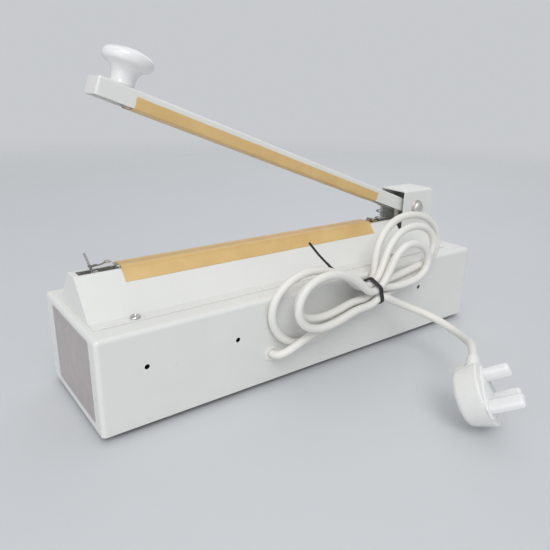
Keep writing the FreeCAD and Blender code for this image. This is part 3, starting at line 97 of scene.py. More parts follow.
def sharedEffect(name, entries, results):
    tree = bpy.data.node_groups.new(name, "ShaderNodeTree")
    for label, kind, value in entries:
        socket = tree.interface.new_socket(label, in_out="INPUT", socket_type=kind)
        if value is not None:
            socket.default_value = value
    for label, kind in results:
        tree.interface.new_socket(label, in_out="OUTPUT", socket_type=kind)
    return tree, tree.nodes.new("NodeGroupInput"), tree.nodes.new("NodeGroupOutput")


# Patchy tone: two close tones of one coat, mixed by soft cloud
patchyTone, entry, result = sharedEffect(
    "patchyTone",
    [("Place", "NodeSocketVector", None), ("Light Tone", "NodeSocketColor", (0.8, 0.8, 0.8, 1)),
     ("Dark Tone", "NodeSocketColor", (0.7, 0.7, 0.7, 1)), ("Patch Scale", "NodeSocketFloat", 25.0)],
    [("Color", "NodeSocketColor")])
cloud = addNode(patchyTone, "ShaderNodeTexNoise",
                {"Vector": entry.outputs["Place"], "Scale": entry.outputs["Patch Scale"],
                 "Detail": 4.0, "Roughness": 0.55})
share = addNode(patchyTone, "ShaderNodeMapRange",
                {"Value": cloud.outputs["Fac"], "From Min": 0.32, "From Max": 0.68})
blend = addNode(patchyTone, "ShaderNodeMix",
                {0: share.outputs["Result"], 6: entry.outputs["Light Tone"],
                 7: entry.outputs["Dark Tone"]}, data_type="RGBA")
patchyTone.links.new(blend.outputs[2], result.inputs["Color"])

# Handled sheen: roughness that wanders between two values, with rubbed spots
handledSheen, entry, result = sharedEffect(
    "handledSheen",
    [("Place", "NodeSocketVector", None), ("Smooth", "NodeSocketFloat", 0.3),
     ("Rough", "NodeSocketFloat", 0.5), ("Patch Scale", "NodeSocketFloat", 60.0)],
    [("Roughness", "NodeSocketFloat")])
cloud = addNode(handledSheen, "ShaderNodeTexNoise",
                {"Vector": entry.outputs["Place"], "Scale": entry.outputs["Patch Scale"],
                 "Detail": 6.0, "Roughness": 0.65, "Distortion": 0.4})
share = addNode(handledSheen, "ShaderNodeMapRange",
                {"Value": cloud.outputs["Fac"], "From Min": 0.3, "From Max": 0.7,
                 "To Min": entry.outputs["Smooth"], "To Max": entry.outputs["Rough"]})
handledSheen.links.new(share.outputs["Result"], result.inputs["Roughness"])

# Fine grain: the height of a sprayed, moulded or cast surface
fineGrain, entry, result = sharedEffect(
    "fineGrain",
    [("Place", "NodeSocketVector", None), ("Grain Scale", "NodeSocketFloat", 1200.0)],
    [("Height", "NodeSocketFloat")])
grit = addNode(fineGrain, "ShaderNodeTexNoise",
               {"Vector": entry.outputs["Place"], "Scale": entry.outputs["Grain Scale"],
                "Detail": 2.0, "Roughness": 0.5})
swell = addNode(fineGrain, "ShaderNodeTexNoise",
                {"Vector": entry.outputs["Place"], "Scale": 220.0, "Detail": 1.0})
height = addNode(fineGrain, "ShaderNodeMath",
                 {0: swell.outputs["Fac"], 1: 0.6, 2: grit.outputs["Fac"]}, operation="MULTIPLY_ADD")
fineGrain.links.new(height.outputs["Value"], result.inputs["Height"])

# Drawn lines: the long fine scratches of rolled, drawn or turned metal
drawnLines, entry, result = sharedEffect(
    "drawnLines",
    [("Place", "NodeSocketVector", None), ("Stretch", "NodeSocketVector", (60.0, 2500.0, 2500.0))],
    [("Height", "NodeSocketFloat"), ("Mask", "NodeSocketFloat")])
pulled = addNode(drawnLines, "ShaderNodeVectorMath",
                 {0: entry.outputs["Place"], 1: entry.outputs["Stretch"]}, operation="MULTIPLY")
lines = addNode(drawnLines, "ShaderNodeTexNoise", {"Vector": pulled.outputs["Vector"], "Scale": 1.0,
                                                   "Detail": 3.0, "Roughness": 0.6})
deep = addNode(drawnLines, "ShaderNodeMapRange",
               {"Value": lines.outputs["Fac"], "From Min": 0.55, "From Max": 0.75})
drawnLines.links.new(lines.outputs["Fac"], result.inputs["Height"])
drawnLines.links.new(deep.outputs["Result"], result.inputs["Mask"])


def useEffect(tree, effect, sockets):
    node = tree.nodes.new("ShaderNodeGroup")
    node.node_tree = effect
    for label, value in sockets.items():
        if isinstance(value, bpy.types.NodeSocket):
            tree.links.new(value, node.inputs[label])
        else:
            node.inputs[label].default_value = value
    return node


def startMaterial(name):
    material = bpy.data.materials.new(name)
    material.use_nodes = True
    tree = material.node_tree
    tree.nodes.clear()
    output = tree.nodes.new("ShaderNodeOutputMaterial")
    shader = tree.nodes.new("ShaderNodeBsdfPrincipled")
    tree.links.new(shader.outputs["BSDF"], output.inputs["Surface"])
    place = tree.nodes.new("ShaderNodeTexCoord").outputs["Object"]
    return material, tree, shader, place


def roughen(tree, shader, height, strength, distance):
    bump = addNode(tree, "ShaderNodeBump", {"Height": height, "Strength": strength, "Distance": distance})
    tree.links.new(bump.outputs["Normal"], shader.inputs["Normal"])


def coatedMaterial(name, light, dark, sheen, patch, grain, depth, coat=0.0):
    material, tree, shader, place = startMaterial(name)
    tone = useEffect(tree, patchyTone, {"Place": place, "Light Tone": (*light, 1),
                                        "Dark Tone": (*dark, 1), "Patch Scale": patch})
    rough = useEffect(tree, handledSheen, {"Place": place, "Smooth": sheen[0], "Rough": sheen[1]})
    fine = useEffect(tree, fineGrain, {"Place": place, "Grain Scale": grain})
    tree.links.new(tone.outputs["Color"], shader.inputs["Base Color"])
    tree.links.new(rough.outputs["Roughness"], shader.inputs["Roughness"])
    shader.inputs["Coat Weight"].default_value = coat
    shader.inputs["Coat Roughness"].default_value = 0.08
    roughen(tree, shader, fine.outputs["Height"], 0.5, depth)
    return material


def metalMaterial(name, light, dark, sheen, stretch, depth):
    material, tree, shader, place = startMaterial(name)
    tone = useEffect(tree, patchyTone, {"Place": place, "Light Tone": (*light, 1),
                                        "Dark Tone": (*dark, 1), "Patch Scale": 90.0})
    rough = useEffect(tree, handledSheen, {"Place": place, "Smooth": sheen[0], "Rough": sheen[1],
                                           "Patch Scale": 140.0})
    drawn = useEffect(tree, drawnLines, {"Place": place, "Stretch": stretch})
    scored = addNode(tree, "ShaderNodeMath", {0: drawn.outputs["Mask"], 1: 0.12,
                                              2: rough.outputs["Roughness"]}, operation="MULTIPLY_ADD")
    tree.links.new(tone.outputs["Color"], shader.inputs["Base Color"])
    tree.links.new(scored.outputs["Value"], shader.inputs["Roughness"])
    shader.inputs["Metallic"].default_value = 1.0
    roughen(tree, shader, drawn.outputs["Height"], 0.25, depth)
    return material


def coatedTapeMaterial():
    # Coated glass cloth: a plain weave under a smooth film, browned a little along the seal
    material, tree, shader, place = startMaterial("coatedGlassTape")
    cloth = tree.nodes.new("ShaderNodeUVMap")
    cloth.uv_map = "cloth"
    parts = addNode(tree, "ShaderNodeSeparateXYZ", {"Vector": cloth.outputs["UV"]})
    turns = []
    for axis in ("X", "Y"):
        scaled = addNode(tree, "ShaderNodeMath", {0: parts.outputs[axis], 1: 6800.0}, operation="MULTIPLY")
        turns.append(addNode(tree, "ShaderNodeMath", {0: scaled.outputs["Value"]}, operation="SINE"))
    weave = addNode(tree, "ShaderNodeMath", {0: turns[0].outputs["Value"], 1: turns[1].outputs["Value"]},
                    operation="MULTIPLY")
    tone = useEffect(tree, patchyTone, {"Place": place, "Light Tone": (0.740, 0.515, 0.225, 1),
                                        "Dark Tone": (0.670, 0.445, 0.175, 1), "Patch Scale": 38.0})
    across = addNode(tree, "ShaderNodeMath", {0: parts.outputs["Y"]}, operation="ABSOLUTE")
    seal = addNode(tree, "ShaderNodeMapRange", {"Value": across.outputs["Value"], "From Min": 0.0012,
                                                "From Max": 0.0045, "To Min": 0.32, "To Max": 0.0})
    browned = addNode(tree, "ShaderNodeMix", {0: seal.outputs["Result"], 6: tone.outputs["Color"],
                                              7: (0.42, 0.23, 0.085, 1)}, data_type="RGBA")
    threads = addNode(tree, "ShaderNodeMapRange", {"Value": weave.outputs["Value"], "From Min": -1.0,
                                                   "To Min": 0.10, "To Max": 0.0})
    woven = addNode(tree, "ShaderNodeMix", {0: threads.outputs["Result"], 6: browned.outputs[2],
                                            7: (0.30, 0.17, 0.07, 1)}, data_type="RGBA")
    rough = useEffect(tree, handledSheen, {"Place": place, "Smooth": 0.36, "Rough": 0.52,
                                           "Patch Scale": 80.0})
    tree.links.new(woven.outputs[2], shader.inputs["Base Color"])
    tree.links.new(rough.outputs["Roughness"], shader.inputs["Roughness"])
    roughen(tree, shader, weave.outputs["Value"], 0.35, 0.00004)
    return material


def windingMaterial():
    # Enamelled wire in level turns, coloured dark in the grooves between turns and light on each turn's
    # crest: painted shade in the grooves and painted light on the crests
    material, tree, shader, place = startMaterial("copperWinding")
    parts = addNode(tree, "ShaderNodeSeparateXYZ", {"Vector": place})
    scaled = addNode(tree, "ShaderNodeMath", {0: parts.outputs["Z"], 1: 9000.0}, operation="MULTIPLY")
    turn = addNode(tree, "ShaderNodeMath", {0: scaled.outputs["Value"]}, operation="SINE")
    share = addNode(tree, "ShaderNodeMapRange", {"Value": turn.outputs["Value"], "From Min": -1.0})
    # painted shade: the colour darkens towards each groove between turns and lightens towards each crest
    tone = addNode(tree, "ShaderNodeMix", {0: share.outputs["Result"], 6: (0.20, 0.07, 0.02, 1),
                                           7: (0.62, 0.28, 0.12, 1)}, data_type="RGBA")
    rough = useEffect(tree, handledSheen, {"Place": place, "Smooth": 0.2, "Rough": 0.35})
    tree.links.new(tone.outputs[2], shader.inputs["Base Color"])
    tree.links.new(rough.outputs["Roughness"], shader.inputs["Roughness"])
    shader.inputs["Metallic"].default_value = 0.7
    roughen(tree, shader, turn.outputs["Value"], 0.8, 0.0002)
    return material


def laminationMaterial():
    # Stacked core sheets, seen on edge along Y
    material, tree, shader, place = startMaterial("coreLaminations")
    parts = addNode(tree, "ShaderNodeSeparateXYZ", {"Vector": place})
    scaled = addNode(tree, "ShaderNodeMath", {0: parts.outputs["Y"], 1: 12500.0}, operation="MULTIPLY")
    turn = addNode(tree, "ShaderNodeMath", {0: scaled.outputs["Value"]}, operation="SINE")
    share = addNode(tree, "ShaderNodeMapRange", {"Value": turn.outputs["Value"], "From Min": -0.2})
    tone = addNode(tree, "ShaderNodeMix", {0: share.outputs["Result"], 6: (0.07, 0.06, 0.055, 1),
                                           7: (0.34, 0.33, 0.32, 1)}, data_type="RGBA")
    rough = useEffect(tree, handledSheen, {"Place": place, "Smooth": 0.35, "Rough": 0.55})
    tree.links.new(tone.outputs[2], shader.inputs["Base Color"])
    tree.links.new(rough.outputs["Roughness"], shader.inputs["Roughness"])
    shader.inputs["Metallic"].default_value = 0.8
    return material


def lensMaterial():
    # Moulded amber lens; its fine rings are left out
    material, tree, shader, place = startMaterial("amberLens")
    tone = useEffect(tree, patchyTone, {"Place": place, "Light Tone": (0.95, 0.33, 0.04, 1),
                                        "Dark Tone": (0.80, 0.22, 0.02, 1), "Patch Scale": 300.0})
    rough = useEffect(tree, handledSheen, {"Place": place, "Smooth": 0.05, "Rough": 0.14})
    tree.links.new(tone.outputs["Color"], shader.inputs["Base Color"])
    tree.links.new(rough.outputs["Roughness"], shader.inputs["Roughness"])
    shader.inputs["Transmission Weight"].default_value = 0.6
    shader.inputs["IOR"].default_value = 1.49
    return material


paintedSteel = coatedMaterial("whitePowderCoat", (0.775, 0.780, 0.755), (0.745, 0.750, 0.725),
                              (0.26, 0.40), 14.0, 1100.0, 0.00006, 0.12)
knobPlastic = coatedMaterial("glossyKnobPlastic", (0.840, 0.845, 0.840), (0.815, 0.820, 0.812),
                             (0.10, 0.20), 30.0, 900.0, 0.00001, 0.35)
plugPlastic = coatedMaterial("plugPlastic", (0.825, 0.825, 0.805), (0.790, 0.790, 0.765),
                             (0.22, 0.34), 45.0, 1600.0, 0.00002, 0.1)
cordSheath = coatedMaterial("cordSheath", (0.800, 0.790, 0.755), (0.765, 0.750, 0.705),
                            (0.34, 0.48), 26.0, 1500.0, 0.00003)
tieCoat = coatedMaterial("blackTieCoat", (0.014, 0.014, 0.015), (0.028, 0.028, 0.030),
                         (0.28, 0.42), 120.0, 1800.0, 0.00003)
timerPlastic = coatedMaterial("timerBlackPlastic", (0.020, 0.020, 0.021), (0.034, 0.034, 0.036),
                              (0.38, 0.52), 60.0, 2600.0, 0.00004)
feetRubber = coatedMaterial("feetRubber", (0.022, 0.022, 0.022), (0.045, 0.044, 0.042),
                            (0.62, 0.80), 90.0, 1300.0, 0.00008)
padSilicone = coatedMaterial("padSilicone", (0.62, 0.50, 0.42), (0.55, 0.43, 0.35),
                             (0.50, 0.66), 60.0, 900.0, 0.00005)
hingeNylon = coatedMaterial("hingeNylon", (0.72, 0.70, 0.62), (0.66, 0.63, 0.54),
                            (0.32, 0.46), 80.0, 1200.0, 0.00003)
clothStrip = coatedMaterial("clothStrip", (0.70, 0.66, 0.54), (0.60, 0.55, 0.42),
                            (0.60, 0.78), 90.0, 1700.0, 0.00010)
boardLaminate = coatedMaterial("boardLaminate", (0.035, 0.20, 0.085), (0.025, 0.15, 0.060),
                               (0.25, 0.40), 70.0, 1500.0, 0.00003)
dialInk = coatedMaterial("dialInk", (0.035, 0.036, 0.040), (0.060, 0.061, 0.066),
                         (0.45, 0.60), 200.0, 1500.0, 0.00001)
pointerPaint = coatedMaterial("pointerPaint", (0.780, 0.780, 0.760), (0.720, 0.720, 0.700),
                              (0.40, 0.55), 200.0, 1500.0, 0.00002)
zincPlate = metalMaterial("zincPlate", (0.64, 0.63, 0.60), (0.52, 0.51, 0.49), (0.26, 0.42),
                          (180.0, 900.0, 900.0), 0.00002)
brightSteel = metalMaterial("brightSteel", (0.66, 0.66, 0.655), (0.58, 0.58, 0.575), (0.16, 0.28),
                            (2200.0, 200.0, 2200.0), 0.00001)
dullSteel = metalMaterial("dullSteel", (0.74, 0.72, 0.70), (0.64, 0.62, 0.60), (0.44, 0.58),
                          (900.0, 900.0, 900.0), 0.00001)
springSteel = metalMaterial("springSteel", (0.62, 0.62, 0.61), (0.48, 0.48, 0.47), (0.24, 0.38),
                            (700.0, 700.0, 700.0), 0.00001)
ribbonAlloy = metalMaterial("ribbonAlloy", (0.42, 0.385, 0.35), (0.29, 0.25, 0.22), (0.28, 0.45),
                            (60.0, 3000.0, 3000.0), 0.00001)
barAluminium = metalMaterial("barAluminium", (0.70, 0.69, 0.66), (0.61, 0.60, 0.57), (0.30, 0.42),
                             (30.0, 2800.0, 2800.0), 0.00002)
pinBrass = metalMaterial("pinBrass", (0.70, 0.52, 0.24), (0.58, 0.41, 0.17), (0.20, 0.34),
                         (300.0, 900.0, 900.0), 0.00001)
tinnedBrass = metalMaterial("tinnedBrass", (0.76, 0.71, 0.60), (0.62, 0.56, 0.44), (0.26, 0.40),
                            (600.0, 900.0, 900.0), 0.00001)
platedFoil = metalMaterial("platedFoil", (0.66, 0.60, 0.585), (0.60, 0.545, 0.53), (0.34, 0.46),
                           (40.0, 1600.0, 1600.0), 0.00001)
coatedTape = coatedTapeMaterial()
copperWinding = windingMaterial()
coreLaminations = laminationMaterial()
amberLens = lensMaterial()
print("materials made")


# Building blocks for meshes

def linked(name, mesh):
    made = bpy.data.objects.new(name, mesh)
    scene.collection.objects.link(made)
    return made


def meshFrom(name, corners, faces):
    mesh = bpy.data.meshes.new(name)
    mesh.from_pydata([tuple(corner) for corner in corners], [], faces)
    shell = bmesh.new()
    shell.from_mesh(mesh)
    bmesh.ops.recalc_face_normals(shell, faces=shell.faces)
    shell.to_mesh(mesh)
    shell.free()
    return mesh


def smoothed(mesh, degrees):
    mesh.shade_smooth()
    mesh.set_sharp_from_angle(angle=math.radians(degrees))


def settled(host):
    # The evaluated shape of an object as a plain mesh on a new object of the same name
    view = bpy.context.evaluated_depsgraph_get()
    mesh = bpy.data.meshes.new_from_object(host.evaluated_get(view))
    name = host.name
    bpy.data.objects.remove(host)
    return linked(name, mesh)


def finished(made, material, body, slotName, *nodes):
    if material is not None:
        made.data.materials.clear()
        made.data.materials.append(material)
    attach(made, body)
    if nodes:
        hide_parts(*nodes)
    return made


def turned(name, profile, start, direction, sides):
    # A turned piece: the profile lists (radius, height) from the foot's middle to the top's middle
    turn = Vector((0, 0, 1)).rotation_difference(direction.normalized()).to_matrix()
    corners = []
    rows = []
    for radius, height in profile:
        if radius < 1e-6:
            rows.append([len(corners)])
            corners.append(start + turn @ Vector((0, 0, height)))
            continue
        rows.append(list(range(len(corners), len(corners) + sides)))
        for index in range(sides):
            angle = 2 * math.pi * index / sides
            corners.append(start + turn @ Vector((radius * math.cos(angle), radius * math.sin(angle),
                                                  height)))
    faces = []
    for low, high in zip(rows, rows[1:]):
        for index in range(sides):
            after = (index + 1) % sides
            if len(low) == 1:
                faces.append((low[0], high[after], high[index]))
            elif len(high) == 1:
                faces.append((low[index], low[after], high[0]))
            else:
                faces.append((low[index], low[after], high[after], high[index]))
    if len(rows[0]) > 1 and len(rows[-1]) > 1:
        for index in range(sides):
            after = (index + 1) % sides
            faces.append((rows[-1][index], rows[-1][after], rows[0][after], rows[0][index]))
    mesh = meshFrom(name, corners, faces)
    smoothed(mesh, 38)
    return linked(name, mesh)


def rounded(points, steps, share):
    # Rounds the inner corners of a profile
    smooth = [points[0]]
    for before, here, after in zip(points, points[1:], points[2:]):
        first = Vector(here).lerp(Vector(before), share)
        last = Vector(here).lerp(Vector(after), share)
        for index in range(steps + 1):
            t = index / steps
            smooth.append(tuple(first * (1 - t) ** 2 + Vector(here) * 2 * t * (1 - t) + last * t ** 2))
    smooth.append(points[-1])
    return smooth


def softCorners(line, reach, steps, closed):
    # Softens the corners of a flat line, each over the same reach
    count = len(line)
    soft = []
    for index in range(count):
        here = Vector(line[index])
        if not closed and index in (0, count - 1):
            soft.append(here)
            continue
        before = Vector(line[index - 1]) - here
        after = Vector(line[(index + 1) % count]) - here
        first = here + before.normalized() * min(reach, before.length / 2)
        last = here + after.normalized() * min(reach, after.length / 2)
        for step in range(steps + 1):
            t = step / steps
            soft.append(first * (1 - t) ** 2 + here * 2 * t * (1 - t) + last * t ** 2)
    return soft


def stacked(name, rings, degrees):
    # A closed mesh from rings of equal count, one above the other
    count = len(rings[0])
    corners = [corner for ring in rings for corner in ring]
    faces = [tuple(range(count)), tuple(range(len(corners) - count, len(corners)))]
    for row in range(len(rings) - 1):
        for index in range(count):
            after = (index + 1) % count
            low = row * count
            faces.append((low + index, low + after, low + count + after, low + count + index))
    mesh = meshFrom(name, corners, faces)
    smoothed(mesh, degrees)
    return linked(name, mesh)


def framePiece(name, nodeName, edge, keep=None):
    # A copy of a CAD node: merged, its flat faces joined, and its edges broken
    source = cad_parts[nodeName]
    shell = bmesh.new()
    shell.from_mesh(source.data)
    shell.transform(source.matrix_world)
    bmesh.ops.remove_doubles(shell, verts=shell.verts, dist=2e-6)
    if keep is not None:
        unwanted = []
        for island in islandsOf(shell):
            low = min(corner.co.z for corner in island)
            high = max(corner.co.z for corner in island)
            if not keep(low, high):
                unwanted += island
        bmesh.ops.delete(shell, geom=unwanted, context="VERTS")
    bmesh.ops.dissolve_limit(shell, angle_limit=math.radians(0.6), verts=shell.verts, edges=shell.edges)
    mesh = bpy.data.meshes.new(name)
    shell.to_mesh(mesh)
    shell.free()
    made = linked(name, mesh)
    smoothed(mesh, 32)
    if edge > 0:
        broken = made.modifiers.new("broken", "BEVEL")
        broken.width = edge / 1000
        broken.segments = 2
        broken.limit_method = "ANGLE"
        broken.angle_limit = math.radians(40)
        broken.use_clamp_overlap = False
        broken.miter_outer = "MITER_ARC"
        even = made.modifiers.new("even", "WEIGHTED_NORMAL")
        even.keep_sharp = True
        made = settled(made)
    return made


def islandsOf(shell):
    waiting = set(shell.verts)
    islands = []
    while waiting:
        start = waiting.pop()
        group = [start]
        reach = [start]
        while reach:
            corner = reach.pop()
            for edge in corner.link_edges:
                other = edge.other_vert(corner)
                if other in waiting:
                    waiting.remove(other)
                    group.append(other)
                    reach.append(other)
        islands.append(group)
    return islands


# Building blocks for geometry nodes

def startTree(name, entries):
    tree = bpy.data.node_groups.new(name, "GeometryNodeTree")
    tree.interface.new_socket("Geometry", in_out="INPUT", socket_type="NodeSocketGeometry")
    for label, kind in entries:
        tree.interface.new_socket(label, in_out="INPUT", socket_type=kind)
    tree.interface.new_socket("Geometry", in_out="OUTPUT", socket_type="NodeSocketGeometry")
    return tree, tree.nodes.new("NodeGroupInput"), tree.nodes.new("NodeGroupOutput")


def endTree(tree, shape, entry, result):
    plain = addNode(tree, "GeometryNodeRealizeInstances", {"Geometry": shape})
    coated = addNode(tree, "GeometryNodeSetMaterial", {"Geometry": plain.outputs["Geometry"],
                                                       "Material": entry.outputs["Material"]})
    tree.links.new(coated.outputs["Geometry"], result.inputs["Geometry"])


def grown(name, tree, corners, edges, values):
    # Runs a tree on a few points or a path, and keeps the result as a plain mesh
    mesh = bpy.data.meshes.new(name)
    mesh.from_pydata([tuple(corner) for corner in corners], edges, [])
    host = linked(name, mesh)
    modifier = host.modifiers.new("grow", "NODES")
    modifier.node_group = tree
    for item in tree.interface.items_tree:
        if item.in_out == "INPUT" and item.name in values:
            modifier[item.identifier] = values[item.name]
    host.update_tag()
    return settled(host)


# Wire along a path: springs and tie
wireTree, entry, result = startTree("wireAlongPath", [
    ("Wire Radius", "NodeSocketFloat"), ("Sides", "NodeSocketInt"), ("Material", "NodeSocketMaterial")])
path = addNode(wireTree, "GeometryNodeMeshToCurve", {"Mesh": entry.outputs["Geometry"]})
section = addNode(wireTree, "GeometryNodeCurvePrimitiveCircle",
                  {"Resolution": entry.outputs["Sides"], "Radius": entry.outputs["Wire Radius"]})
tube = addNode(wireTree, "GeometryNodeCurveToMesh",
               {"Curve": path.outputs["Curve"], "Profile Curve": section.outputs["Curve"],
                "Fill Caps": True})
soft = addNode(wireTree, "GeometryNodeSetShadeSmooth", {"Geometry": tube.outputs["Mesh"]})
endTree(wireTree, soft.outputs["Geometry"], entry, result)

# Screws on points: one model screw, turned at random about its own axis
screwTree, entry, result = startTree("screwsOnPoints", [
    ("Screw", "NodeSocketObject"), ("Tilt", "NodeSocketVector"), ("Spread", "NodeSocketFloat"),
    ("Seed", "NodeSocketInt"), ("Material", "NodeSocketMaterial")])
model = addNode(screwTree, "GeometryNodeObjectInfo", {"Object": entry.outputs["Screw"],
                                                      "As Instance": True})
laid = addNode(screwTree, "GeometryNodeInstanceOnPoints",
               {"Points": entry.outputs["Geometry"], "Instance": model.outputs["Geometry"],
                "Rotation": entry.outputs["Tilt"]})
turn = addNode(screwTree, "FunctionNodeRandomValue",
               {"Min": 0.0, "Max": 1.0, "Seed": entry.outputs["Seed"]}, data_type="FLOAT")
angle = addNode(screwTree, "ShaderNodeMath", {0: turn.outputs[1], 1: entry.outputs["Spread"]},
                operation="MULTIPLY")
spin = addNode(screwTree, "ShaderNodeCombineXYZ", {"Z": angle.outputs["Value"]})
spun = addNode(screwTree, "GeometryNodeRotateInstances",
               {"Instances": laid.outputs["Instances"], "Rotation": spin.outputs["Vector"],
                "Local Space": True})
endTree(screwTree, spun.outputs["Instances"], entry, result)

# Dial marks: short bars on an arc, each pointing at its middle
markTree, entry, result = startTree("dialMarks", [
    ("Middle", "NodeSocketVector"), ("Mark Size", "NodeSocketVector"), ("Material", "NodeSocketMaterial")])
here = addNode(markTree, "GeometryNodeInputPosition")
reach = addNode(markTree, "ShaderNodeVectorMath", {0: here.outputs["Position"], 1: entry.outputs["Middle"]},
                operation="SUBTRACT")
aim = addNode(markTree, "FunctionNodeAlignEulerToVector", {"Vector": reach.outputs["Vector"]}, axis="X",
              pivot_axis="Y")
bar = addNode(markTree, "GeometryNodeMeshCube", {"Size": entry.outputs["Mark Size"]})
laid = addNode(markTree, "GeometryNodeInstanceOnPoints",
               {"Points": entry.outputs["Geometry"], "Instance": bar.outputs["Mesh"],
                "Rotation": aim.outputs["Rotation"]})
endTree(markTree, laid.outputs["Instances"], entry, result)
print("node trees made")


# Cord: one line from the grommet through the worked turns to the plug

cordSizes = {"diameter": 0.0068, "length": 1.545}
exitRoute = [
    (58.0, 57.3, 30.0), (58.0, 61.5, 30.2), (55.6, 65.8, 31.6), (49.6, 68.3, 34.2), (42.0, 69.0, 37.4),
    (34.5, 69.0, 40.4), (22, 69, 44), (8, 69, 47), (-6, 69.1, 50), (-19, 69.3, 53.5),
]
leadRoute = [
    (-47.0, 79.0, 64.2), (-65.0, 79.8, 54.0), (-82.0, 86.8, 46.2), (-92.3, 103.0, 40.2),
    (-91.8, 122.6, 36.5), (-82.0, 139.5, 38.5), (-56.4, 165.0, 49.6), (-42.5, 174.4, 46.9),
]
tiePlace = Vector((-42.6, 69.5, 66.0))
tieAxis = Vector((0.9578, 0.0, -0.2873))
tieAcross = Vector((0.0, 1.0, 0.0))
tieUp = Vector((0.2873, 0.0, 0.9578))
waistPlaces = {
    "exitStrand": (0.3, -7.2), "wallStrand": (-6.3, 3.6), "lowStrand": (-6.3, -3.6), "topStrand": (0, 7.2),
    "middleStrand": (0, 0), "nearStrand": (6.3, 3.6), "leadStrand": (6.3, -3.6),
}


def throughTie(strand, way, before, after, reach=10):
    across, up = waistPlaces[strand]
    seat = tiePlace + tieAcross * across + tieUp * up
    return [seat - tieAxis * reach * way + tieUp * before, seat,
            seat + tieAxis * reach * way + tieUp * after]


def worked(turn, depths, lean):
    # One turn, given in X and Z, with its depth eased between the listed ones
    points = []
    for index, (x, z) in enumerate(turn):
        part = index / (len(turn) - 1) * (len(depths) - 1)
        step = min(int(part), len(depths) - 2)
        depth = depths[step] + (depths[step + 1] - depths[step]) * (part - step)
        points.append((x, depth - lean * max(0, z - 80), z))
    return points


wideHingeTurn = [(-66, 62), (-80, 64.5), (-96, 68), (-113, 72.5), (-129, 79), (-140, 90), (-142, 104),
                 (-133, 116), (-117, 123), (-99, 125), (-81, 122), (-66, 113), (-56, 100), (-52, 86)]
middleHingeTurn = [(-66, 70.3), (-80, 74.5), (-95, 77.5), (-110, 81), (-122, 88), (-127, 99), (-121, 110),
                   (-107, 116), (-91, 116.5), (-76, 112), (-64, 102), (-56, 90)]
smallHingeTurn = [(-66, 67.2), (-80, 68), (-93, 70.5), (-104, 77), (-108, 88), (-102, 98.5), (-90, 104.5),
                  (-77, 105), (-65, 99), (-57, 88)]
wideKnobTurn = [(-18, 82), (-2, 90), (15, 95), (32, 95), (48, 89), (59, 78), (62, 64), (57, 50), (46, 39),
                (31, 33.5), (15, 35), (0, 41), (-14, 49), (-26, 57)]
smallKnobTurn = [(-20, 84), (-6, 89.5), (9, 91.5), (24, 90), (37, 83.5), (43, 73), (39, 62), (26, 56.5),
                 (11, 56), (-4, 58.5), (-18, 62)]
nearKnobTurn = [(-19, 80.5), (-6, 89), (8, 94.5), (23, 95.5), (37, 91), (46, 81), (48, 68), (41, 57),
                (28, 51), (13, 50.5), (-2, 53.5), (-16, 57.5)]

cordRoute = list(exitRoute)
cordRoute += throughTie("exitStrand", -1, -3, -3)
cordRoute += worked(wideHingeTurn, (68.6, 63.5, 61, 61, 61, 61, 61.5), 0.2)
cordRoute += throughTie("wallStrand", 1, 6, 4)
cordRoute += worked(wideKnobTurn, (61.3, 61, 61, 61, 61.5, 62.5), 0)
cordRoute += throughTie("lowStrand", -1, -3, 1)
cordRoute += worked(middleHingeTurn, (64.0, 67.5, 68.6, 69, 69, 69, 69), 0.2)
cordRoute += throughTie("topStrand", 1, 5, 4)
cordRoute += worked(smallKnobTurn, (69.2, 69.2, 69.2), 0)
cordRoute += throughTie("middleStrand", -1, -1.5, -1)
cordRoute += worked(smallHingeTurn, (72.5, 76.2, 76.3, 76.3, 76.3, 76.3), 0.1)
cordRoute += throughTie("nearStrand", 1, 5, 4)
cordRoute += worked(nearKnobTurn, (76.3, 76.8, 76.8, 76.8, 76.3), 0)
cordRoute += throughTie("leadStrand", -1, -2.5, 0, 9)[:2]
cordRoute += leadRoute
cordCurve = bpy.data.curves.new("mainsCord", "CURVE")
cordCurve.dimensions = "3D"
cordLine = cordCurve.splines.new("NURBS")
cordLine.points.add(len(cordRoute) - 1)
for point, (x, y, z) in zip(cordLine.points, cordRoute):
    point.co = (*spot(x, y, z), 1)
cordLine.order_u = 3
cordLine.use_endpoint_u = True
cordLine.resolution_u = 8
cordCurve.bevel_depth = cordSizes["diameter"] / 2
cordCurve.bevel_resolution = 6
cordCurve.use_fill_caps = True
mainsCord = linked("mainsCord", cordCurve)
finished(mainsCord, cordSheath, "base", "cord_white", "cord_exit", "cord_hank", "cord_lead")
print("cord laid")


# Tie: two strands round the waist, a little slack above, and a twisted tail

tieSizes = {"wire": 0.00098, "strand": 3.4, "lift": 1.0, "slack": 2.2, "pair": 0.92, "twist": 3.2,
            "parting": 4.2, "reach": 0.98}


def tieRing(along, lift):
    # Round the six outer strands, hugging each one
    hull = []
    outer = [name for name in waistPlaces if name != "middleStrand"]
    outer.sort(key=lambda name: math.atan2(waistPlaces[name][1], waistPlaces[name][0]))
    for name in outer:
        across, up = waistPlaces[name]
        facing = math.atan2(up, across)
        for step in range(-3, 4):
            angle = facing + math.radians(step * 9.5)
            reach = tieSizes["strand"] + lift + tieSizes["slack"] * max(0.0, math.sin(angle))
            hull.append(tiePlace + tieAxis * along + tieAcross * (across + reach * math.cos(angle))
                        + tieUp * (up + reach * math.sin(angle)))
    return hull


